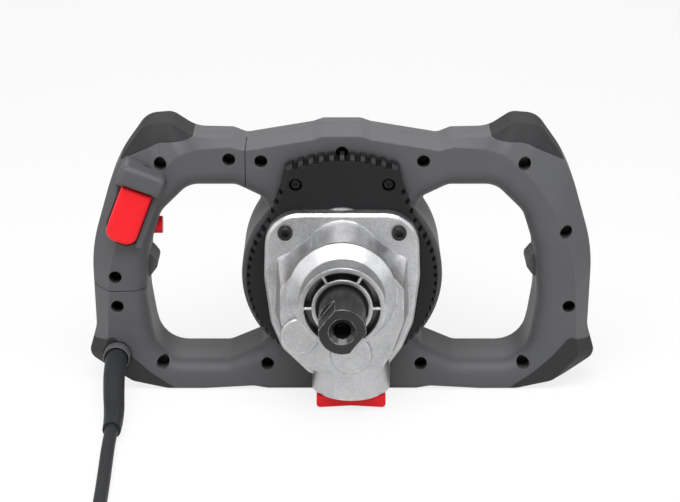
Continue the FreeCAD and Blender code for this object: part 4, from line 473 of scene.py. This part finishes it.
# Plug: a tapered moulded body with finger ribs on its sides and rings round its neck
PLUG_START = tail_points[-1]
PLUG_SECTIONS = (  # place along, half width, half height, squareness
    (0, 0.0056, 0.0056, 2), (0.001, 0.0062, 0.0062, 2), (0.012, 0.0078, 0.0078, 2), (0.0135, 0.0088, 0.0088, 2),
    (0.0155, 0.0132, 0.0128, 2.4), (0.018, 0.0162, 0.0158, 3), (0.021, 0.0174, 0.017, 3.6),
    (0.024, 0.0178, 0.0174, 4), (0.0375, 0.0178, 0.0174, 4), (0.0392, 0.0174, 0.017, 4), (0.04, 0.0166, 0.0162, 4),
)
FINGER_RIBS = 5
FINGER_RIB_PITCH = 0.0028
FINGER_RIB_START = 0.0252
FINGER_RIB_SIDE = 0.0176
NECK_RINGS = 4
NECK_RING_PITCH = 0.0028
NECK_RING_START = 0.0022


def plug_ring(along, across, up, squareness):
    """One section of the plug, between a circle and a rounded square."""
    points = []
    for turn in round_turns():
        x = math.copysign(abs(math.cos(turn)) ** (2 / squareness), math.cos(turn))
        z = math.copysign(abs(math.sin(turn)) ** (2 / squareness), math.sin(turn))
        points.append(PLUG_START + Vector((across * x, along, up * z)))
    return points


def finger_rib_tree():
    """A low rounded rib, upright, at every point."""
    tree, inside, out = new_shape_tree("finger_ribs", ("Rib Radius", "Rib Length"))
    rib = add(
        tree, "GeometryNodeMeshCylinder", (-600, -200), Vertices=12, Radius=(inside, "Rib Radius"),
        Depth=(inside, "Rib Length"),
    )
    rows = add(
        tree, "GeometryNodeInstanceOnPoints", (-200, 0), Points=(inside, "Geometry"), Instance=(rib, "Mesh")
    )
    return close_tree(tree, inside, out, (rows, "Instances"))


def neck_ring_tree():
    """A round ring across the lead's direction at every point."""
    tree, inside, out = new_shape_tree("neck_rings", ("Ring Radius", "Ring Thickness"))
    path = add(
        tree, "GeometryNodeCurvePrimitiveCircle", (-800, -200), Resolution=ROUND_POINTS,
        Radius=(inside, "Ring Radius"),
    )
    section = add(
        tree, "GeometryNodeCurvePrimitiveCircle", (-800, -400), Resolution=12, Radius=(inside, "Ring Thickness")
    )
    ring = add(
        tree, "GeometryNodeCurveToMesh", (-500, -200), Curve=(path, "Curve"), Profile_Curve=(section, "Curve")
    )
    rows = add(
        tree, "GeometryNodeInstanceOnPoints", (-200, 0), Points=(inside, "Geometry"), Instance=(ring, "Mesh"),
        Rotation=FACING_FRONT,
    )
    return close_tree(tree, inside, out, (rows, "Instances"))


plug_body = lofted("plug_body", [plug_ring(*section) for section in PLUG_SECTIONS])
finish_piece(plug_body, "black_plastic", "plug")
rib_places = [
    PLUG_START + Vector((side * FINGER_RIB_SIDE, FINGER_RIB_START + FINGER_RIB_PITCH * number, 0))
    for side in (1, -1) for number in range(FINGER_RIBS)
]
plug_ribs = grown(
    "plug_ribs", rib_places, finger_rib_tree(), "black_plastic", Rib_Radius=0.0008, Rib_Length=0.019
)
finish_piece(plug_ribs, "black_plastic", "plug")
ring_places = [
    PLUG_START + Vector((0, NECK_RING_START + NECK_RING_PITCH * number, 0)) for number in range(NECK_RINGS)
]
plug_rings = grown(
    "plug_rings", ring_places, neck_ring_tree(), "black_plastic", Ring_Radius=0.0069, Ring_Thickness=0.0009
)
finish_piece(plug_rings, "black_plastic", "plug")


# Tie: a flat strap round the coil
TIE_MIDDLE = (COIL_CENTRE.x, -0.435025, 0.0122)


def strap_tree():
    """A flat strap bent round a rounded rectangle that stands across the coil."""
    tree, inside, out = new_shape_tree(
        "tie_strap", ("Reach", "Rise", "Corner", "Strap Width", "Strap Thickness"), ("Middle",)
    )
    path = add(
        tree, "GeometryNodeCurvePrimitiveQuadrilateral", (-900, -100), Width=(inside, "Reach"),
        Height=(inside, "Rise"),
    )
    bent = add(
        tree, "GeometryNodeFilletCurve", (-650, -100), mode="POLY", Count=8, Curve=(path, "Curve"),
        Radius=(inside, "Corner"),
    )
    section = add(
        tree, "GeometryNodeCurvePrimitiveQuadrilateral", (-900, -400), Width=(inside, "Strap Thickness"),
        Height=(inside, "Strap Width"),
    )
    eased = add(
        tree, "GeometryNodeFilletCurve", (-650, -400), mode="POLY", Count=3, Curve=(section, "Curve"), Radius=0.0003
    )
    strap = add(
        tree, "GeometryNodeCurveToMesh", (-350, -200), Curve=(bent, "Curve"), Profile_Curve=(eased, "Curve")
    )
    stood = add(
        tree, "GeometryNodeTransform", (-50, -200), Geometry=(strap, "Mesh"), Translation=(inside, "Middle"),
        Rotation=(math.pi / 2, 0, math.pi / 2),
    )
    return close_tree(tree, inside, out, (stood, "Geometry"))


coil_tie = grown(
    "coil_tie", [], strap_tree(), "black_plastic", Reach=0.0452, Rise=0.0228, Corner=0.005, Strap_Width=0.008,
    Strap_Thickness=0.001, Middle=TIE_MIDDLE,
)
finish_piece(coil_tie, "black_plastic", "cord_tie")


# Screws: pan heads with star sockets on threaded shanks
SCREW_SIZES = {  # head radius, head height, shank radius
    "shell_screws": (0.0036, 0.0026, 0.0017),
    "vent_plate_screws": (0.0036, 0.0026, 0.0017),
    "gear_case_screws": (0.005, 0.004, 0.0022),
}
HEAD_POINTS = 36
SIDE_SHARE, SHOULDER_SHARE, CROWN_SHARE = 0.6, 0.25, 0.15  # of the head's height
SHOULDER_NARROWING, CROWN_NARROWING = 0.93, 0.84
SOCKET_WIDTH_SHARE = 0.5
SOCKET_DEPTH_SHARE = 0.7
STAR_LOBES = 6
STAR_WAVE = 0.14
SHANK_POINTS = 18
THREAD_PITCH = 0.0014
THREAD_POINTS = 14
THREADED_SHARE = 0.95
THREAD_RIDGE_SHARE = 0.14
SCREW_WELD = 1e-6


def raised(tree, at, mesh, top, height):
    """The face chosen by top drawn out by a height; with no top, the whole disc is."""
    drawn = add(tree, "GeometryNodeExtrudeMesh", at, Individual=False, Mesh=mesh, Offset_Scale=height)
    if top:
        feed(tree, drawn, "Selection", top)
    return drawn


def narrowed(tree, at, drawn, factor):
    """The drawn face made narrower about its middle."""
    return add(
        tree, "GeometryNodeScaleElements", at, Geometry=(drawn, "Mesh"), Selection=(drawn, "Top"), Scale=factor
    )


def star_place(tree):
    """Where a point of the socket's rim goes, so that the rim becomes a star with round lobes."""
    place = add(tree, "GeometryNodeInputPosition", (-150, -150))
    parts = add(tree, "ShaderNodeSeparateXYZ", (0, -150), Vector=(place, "Position"))
    turn = maths(tree, "ARCTAN2", (150, -150), (parts, "Y"), (parts, "X"))
    lobes = maths(tree, "MULTIPLY", (300, -150), turn, STAR_LOBES)
    wave = maths(tree, "COSINE", (450, -150), lobes)
    reach = maths(tree, "MULTIPLY_ADD", (600, -150), wave, STAR_WAVE, 1)
    moved = {axis: maths(tree, "MULTIPLY", (750, -150), (parts, axis), reach) for axis in "XY"}
    return add(tree, "ShaderNodeCombineXYZ", (900, -150), Z=(parts, "Z"), **moved), "Vector"


def screw_head(tree, inside):
    """The face that closes a head from below, and the head with its star socket."""
    def tall(at, share):
        return maths(tree, "MULTIPLY", at, (inside, "Head Height"), share)

    disc = add(
        tree, "GeometryNodeMeshCircle", (-1000, 300), fill_type="NGON", Vertices=HEAD_POINTS,
        Radius=(inside, "Head Radius"),
    )
    base = add(tree, "GeometryNodeFlipFaces", (-800, 500), Mesh=(disc, "Mesh"))
    side = raised(tree, (-800, 300), (disc, "Mesh"), None, tall((-1000, 100), SIDE_SHARE))
    shoulder = raised(tree, (-600, 300), (side, "Mesh"), (side, "Top"), tall((-800, 100), SHOULDER_SHARE))
    eased = narrowed(tree, (-450, 300), shoulder, SHOULDER_NARROWING)
    crown = raised(tree, (-300, 300), (eased, "Geometry"), (shoulder, "Top"), tall((-600, 100), CROWN_SHARE))
    capped = narrowed(tree, (-150, 300), crown, CROWN_NARROWING)
    flat = raised(tree, (0, 300), (capped, "Geometry"), (crown, "Top"), 0)
    flat_radius = maths(
        tree, "MULTIPLY", (-300, -50), (inside, "Head Radius"), SHOULDER_NARROWING * CROWN_NARROWING
    )
    share = maths(tree, "DIVIDE", (-150, 100), (inside, "Socket Radius"), flat_radius)
    mouth = narrowed(tree, (150, 300), flat, share)
    star = add(
        tree, "GeometryNodeSetPosition", (300, 300), Geometry=(mouth, "Geometry"), Selection=(flat, "Top"),
        Position=star_place(tree),
    )
    depth = maths(tree, "MULTIPLY", (300, 100), (inside, "Socket Depth"), -1)
    return base, raised(tree, (450, 300), (star, "Geometry"), (flat, "Top"), depth)


def screw_shank(tree, inside):
    """A plain shank below the seat, and the thread round it."""
    def down(at, share):
        return maths(tree, "MULTIPLY", at, (inside, "Shank Length"), -share)

    rod = add(
        tree, "GeometryNodeMeshCylinder", (-300, -400), Vertices=SHANK_POINTS, Radius=(inside, "Shank Radius"),
        Depth=(inside, "Shank Length"),
    )
    sunk = add(tree, "ShaderNodeCombineXYZ", (-300, -600), Z=down((-500, -600), 0.5))
    shank = add(tree, "GeometryNodeTransform", (-100, -400), Geometry=(rod, "Mesh"), Translation=(sunk, "Vector"))
    spiral = add(
        tree, "GeometryNodeCurveSpiral", (-300, -800), Resolution=THREAD_POINTS, Rotations=(inside, "Thread Turns"),
        Start_Radius=(inside, "Shank Radius"), End_Radius=(inside, "Shank Radius"),
        Height=down((-500, -800), THREADED_SHARE),
    )
    ridge_radius = maths(tree, "MULTIPLY", (-500, -1000), (inside, "Shank Radius"), THREAD_RIDGE_SHARE)
    ridge = add(tree, "GeometryNodeCurvePrimitiveCircle", (-300, -1000), Resolution=4, Radius=ridge_radius)
    thread = add(
        tree, "GeometryNodeCurveToMesh", (-100, -800), Curve=(spiral, "Curve"), Profile_Curve=(ridge, "Curve"),
        Fill_Caps=True,
    )
    return shank, thread


def screw_tree():
    """A screw at every point, its head seated there and facing the front."""
    tree, inside, out = new_shape_tree("screws", (
        "Head Radius", "Head Height", "Socket Radius", "Socket Depth", "Shank Radius", "Shank Length", "Thread Turns",
    ))
    base, head = screw_head(tree, inside)
    shank, thread = screw_shank(tree, inside)
    screw = add(tree, "GeometryNodeJoinGeometry", (550, 0))
    for mesh in ((thread, "Mesh"), (shank, "Geometry"), (base, "Mesh"), (head, "Mesh")):
        feed(tree, screw, "Geometry", mesh)
    whole = add(
        tree, "GeometryNodeMergeByDistance", (600, -50), Geometry=(screw, "Geometry"), Distance=SCREW_WELD
    )
    rows = add(
        tree, "GeometryNodeInstanceOnPoints", (650, 0), Points=(inside, "Geometry"), Instance=(whole, "Geometry"),
        Rotation=FACING_FRONT,
    )
    return close_tree(tree, inside, out, (rows, "Instances"))


def solid_boxes(node):
    """Lowest and highest corners of each separate solid in a CAD node."""
    bm = bmesh.new()
    bm.from_mesh(frame["nodes"][node].data)
    bmesh.ops.remove_doubles(bm, verts=bm.verts, dist=SCREW_WELD)
    waiting = set(bm.verts)
    boxes = []
    while waiting:
        reached = [waiting.pop()]
        low = reached[0].co.copy()
        high = low.copy()
        while reached:
            vert = reached.pop()
            low = Vector(map(min, low, vert.co))
            high = Vector(map(max, high, vert.co))
            for link in vert.link_edges:
                other = link.other_vert(vert)
                if other in waiting:
                    waiting.remove(other)
                    reached.append(other)
        boxes.append((low, high))
    bm.free()
    return sorted(boxes, key=lambda box: tuple(box[0]))


SCREWS = screw_tree()


def place_screws(node, head_radius, head_height, shank_radius):
    """Detailed screws in place of a node's plain ones, each seated where its solid is."""
    boxes = solid_boxes(node)
    seats = [Vector(((low.x + high.x) / 2, low.y + head_height, (low.z + high.z) / 2)) for low, high in boxes]
    shank_length = boxes[0][1].y - boxes[0][0].y - head_height
    piece = grown(
        f"{node}_detailed", seats, SCREWS, "black_steel", Head_Radius=head_radius, Head_Height=head_height,
        Socket_Radius=SOCKET_WIDTH_SHARE * head_radius, Socket_Depth=SOCKET_DEPTH_SHARE * head_height,
        Shank_Radius=shank_radius, Shank_Length=shank_length, Thread_Turns=shank_length / THREAD_PITCH,
    )
    finish_piece(piece, "black_steel", node)


for screws, sizes in SCREW_SIZES.items():
    place_screws(screws, *sizes)


# Floor, sky and lamps
FLOOR_HALF_SIDE = 6
FLOOR_LEVEL = -0.0005
FLOOR_GREY = 0.9
FLOOR_WHITE_SHARE = 0.82  # how much of the floor that is seen shines white, whatever light falls on it
SKY_STRENGTH = 0.33
WHITE = (1, 1, 1, 1)
LAMPS = (  # name, place, what it faces, width and height, power
    ("top_softbox", (0, -0.7, 1.45), (0, -0.03, 0.08), (1.5, 0.9), 12),
    ("near_softbox", (0, -0.34, 0.72), (0, -0.03, 0.1), (0.8, 0.4), 3.2),
    ("key_softbox", (-0.9, -0.9, 1.1), (0, 0, 0.08), (0.9, 0.8), 1.5),
    ("right_softbox", (1.3, -0.5, 0.7), (0, 0, 0.08), (0.7, 0.9), 4),
    ("left_softbox", (-1.3, -0.3, 0.6), (0, 0, 0.08), (0.7, 0.9), 3.5),
    ("rear_softbox", (0, 1.4, 0.8), (0, 0, 0.1), (1.4, 0.5), 4),
)


def shader_mix(tree, share, below, above, output):
    """Show one shader over another, by a share."""
    mixed = add(tree, "ShaderNodeMixShader", (300, 0), Fac=share)
    feed(tree, mixed, 1, below)
    feed(tree, mixed, 2, above)
    feed(tree, tree.nodes[output], "Surface", (mixed, "Shader"))


def pale_floor():
    """A wide floor that takes soft shadows and is nearly white to the camera and in reflections."""
    bm = bmesh.new()
    bmesh.ops.create_grid(bm, x_segments=1, y_segments=1, size=FLOOR_HALF_SIDE)
    floor = piece_from_bmesh("floor", bm)
    floor.location.z = FLOOR_LEVEL
    material = bpy.data.materials.new("pale_floor")
    material.use_nodes = True
    tree = material.node_tree
    shader = tree.nodes["Principled BSDF"]
    fill(tree, shader, Base_Color=(FLOOR_GREY, FLOOR_GREY, FLOOR_GREY, 1), Roughness=0.9, Specular_IOR_Level=0.1)
    shine = add(tree, "ShaderNodeEmission", (0, -300), Strength=1)
    ray = add(tree, "ShaderNodeLightPath", (-400, 300))
    seen = maths(tree, "MAXIMUM", (-200, 300), (ray, "Is Camera Ray"), (ray, "Is Glossy Ray"))
    share = maths(tree, "MULTIPLY", (0, 300), seen, FLOOR_WHITE_SHARE)
    shader_mix(tree, share, (shader, "BSDF"), (shine, "Emission"), "Material Output")
    floor.data.materials.append(material)


def plain_sky():
    """An even sky, white to the camera and dimmer as a light."""
    world = bpy.data.worlds.new("studio")
    scene.world = world
    world.use_nodes = True
    tree = world.node_tree
    light = tree.nodes["Background"]
    fill(tree, light, Color=WHITE, Strength=SKY_STRENGTH)
    backdrop = add(tree, "ShaderNodeBackground", (0, -200), Color=WHITE, Strength=1)
    ray = add(tree, "ShaderNodeLightPath", (-200, 300))
    shader_mix(tree, (ray, "Is Camera Ray"), (light, "Background"), (backdrop, "Background"), "World Output")


def place_lamp(name, place, target, size, power):
    """A soft rectangular lamp that the camera doesn't see."""
    light = bpy.data.lights.new(name, "AREA")
    light.shape = "RECTANGLE"
    light.size, light.size_y = size
    light.energy = power
    holder = in_scene(name, light)
    holder.visible_camera = False
    aim(holder, place, Vector(target) - Vector(place))


pale_floor()
plain_sky()
for lamp in LAMPS:
    place_lamp(*lamp)
scene.view_settings.view_transform = "Standard"
